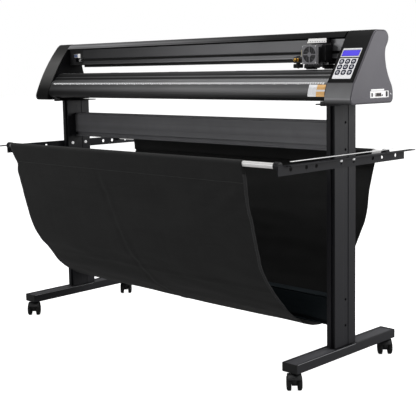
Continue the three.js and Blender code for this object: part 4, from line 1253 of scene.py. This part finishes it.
def make_bag():
    rows, normals = bag_grid()
    count = COLUMNS + 1
    mesh = bpy.data.meshes.new("bag_cloth")
    faces = []
    for i in range(len(rows) - 1):
        for k in range(COLUMNS):
            a = i * count + k
            faces.append((a, a + 1, a + 1 + count, a + count))
    mesh.from_pydata([p * MM for row in rows for p in row], [], faces)
    flat = mesh.uv_layers.new(name="flat")
    for loop in mesh.loops:
        i, k = divmod(loop.vertex_index, count)
        flat.data[loop.index].uv = (2 * BAG_HALF * k / COLUMNS * MM, ALONG[i] * MM)
    mesh.shade_smooth()
    obj = show("bag_cloth", mesh)
    hang_cloth(obj, rows)
    spots = [[obj.data.vertices[i * count + k].co / MM for k in range(count)] for i in range(len(rows))]
    thick = obj.modifiers.new("thickness", "SOLIDIFY")
    thick.thickness = 0.8 * MM
    thick.offset = 0
    obj.data.materials.append(cloth)
    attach(obj, "frame")
    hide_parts("catch_bag")
    return obj, spots, normals


def row_at(length):
    return min(range(len(ALONG)), key=lambda i: abs(ALONG[i] - length))


def side_hems(spots, normals):
    """The doubled hem down each side of the cloth."""
    form = Form()
    for k0, k1 in SIDE_COLUMNS:
        rings = []
        for i, row in enumerate(spots):
            if not HANG_START + 4 < ALONG[i] < HANG_END - 4:
                continue
            edge, inner = row[k0], row[k1]
            lift = normals[i]
            rings.append([edge - lift * 1.0, edge + lift * 1.1, inner + lift * 1.0, inner + lift * 0.2,
                          edge + lift * 0.2])
        form.loft(rings)
    return form.piece("bag_side_hems", [hem_cloth], "frame", slot="cloth", sharp=60)


def stitches(spots, normals):
    """Rows of stitches: the sleeve seams, and down the side hems."""
    form = Form()

    def dash(a, b, lift):
        along = b - a
        side = along.cross(lift).normalized() * 0.45
        foot = lift * 0.5
        top = lift * 0.95
        form.loft([[a + side + foot, a + side + top, a - side + top, a - side + foot],
                   [b + side + foot, b + side + top, b - side + top, b - side + foot]])

    for length, sense in ((HANG_START + HEM_DROP - 6, 1), (HANG_END - HEM_DROP + 6, 1)):
        i = row_at(length)
        row, lift = spots[i], normals[i]
        for k in range(COLUMNS):
            for part in (0.1, 0.6):
                a, b = row[k].lerp(row[k + 1], part), row[k].lerp(row[k + 1], part + 0.33)
                dash(a, b, lift * sense)
    for k0, k1 in SIDE_COLUMNS:
        for i in range(len(spots) - 1):
            if HANG_START + 6 < ALONG[i] < HANG_END - 10:
                a = spots[i][k0].lerp(spots[i][k1], 0.82)
                b = spots[i + 1][k0].lerp(spots[i + 1][k1], 0.82)
                dash(a.lerp(b, 0.2), a.lerp(b, 0.75), normals[i] * 1.6)
    return form.piece("bag_stitches", [thread], "frame", slot="cloth")


hem_cloth = finish("hem_cloth", (0.040, 0.040, 0.041), 0.75, grain=(1.5, 1.5, 1.5), shade=0.3, bump=0.3)
bag, bag_spots, bag_normals = make_bag()
hems = side_hems(bag_spots, bag_normals)
seams = stitches(bag_spots, bag_normals)
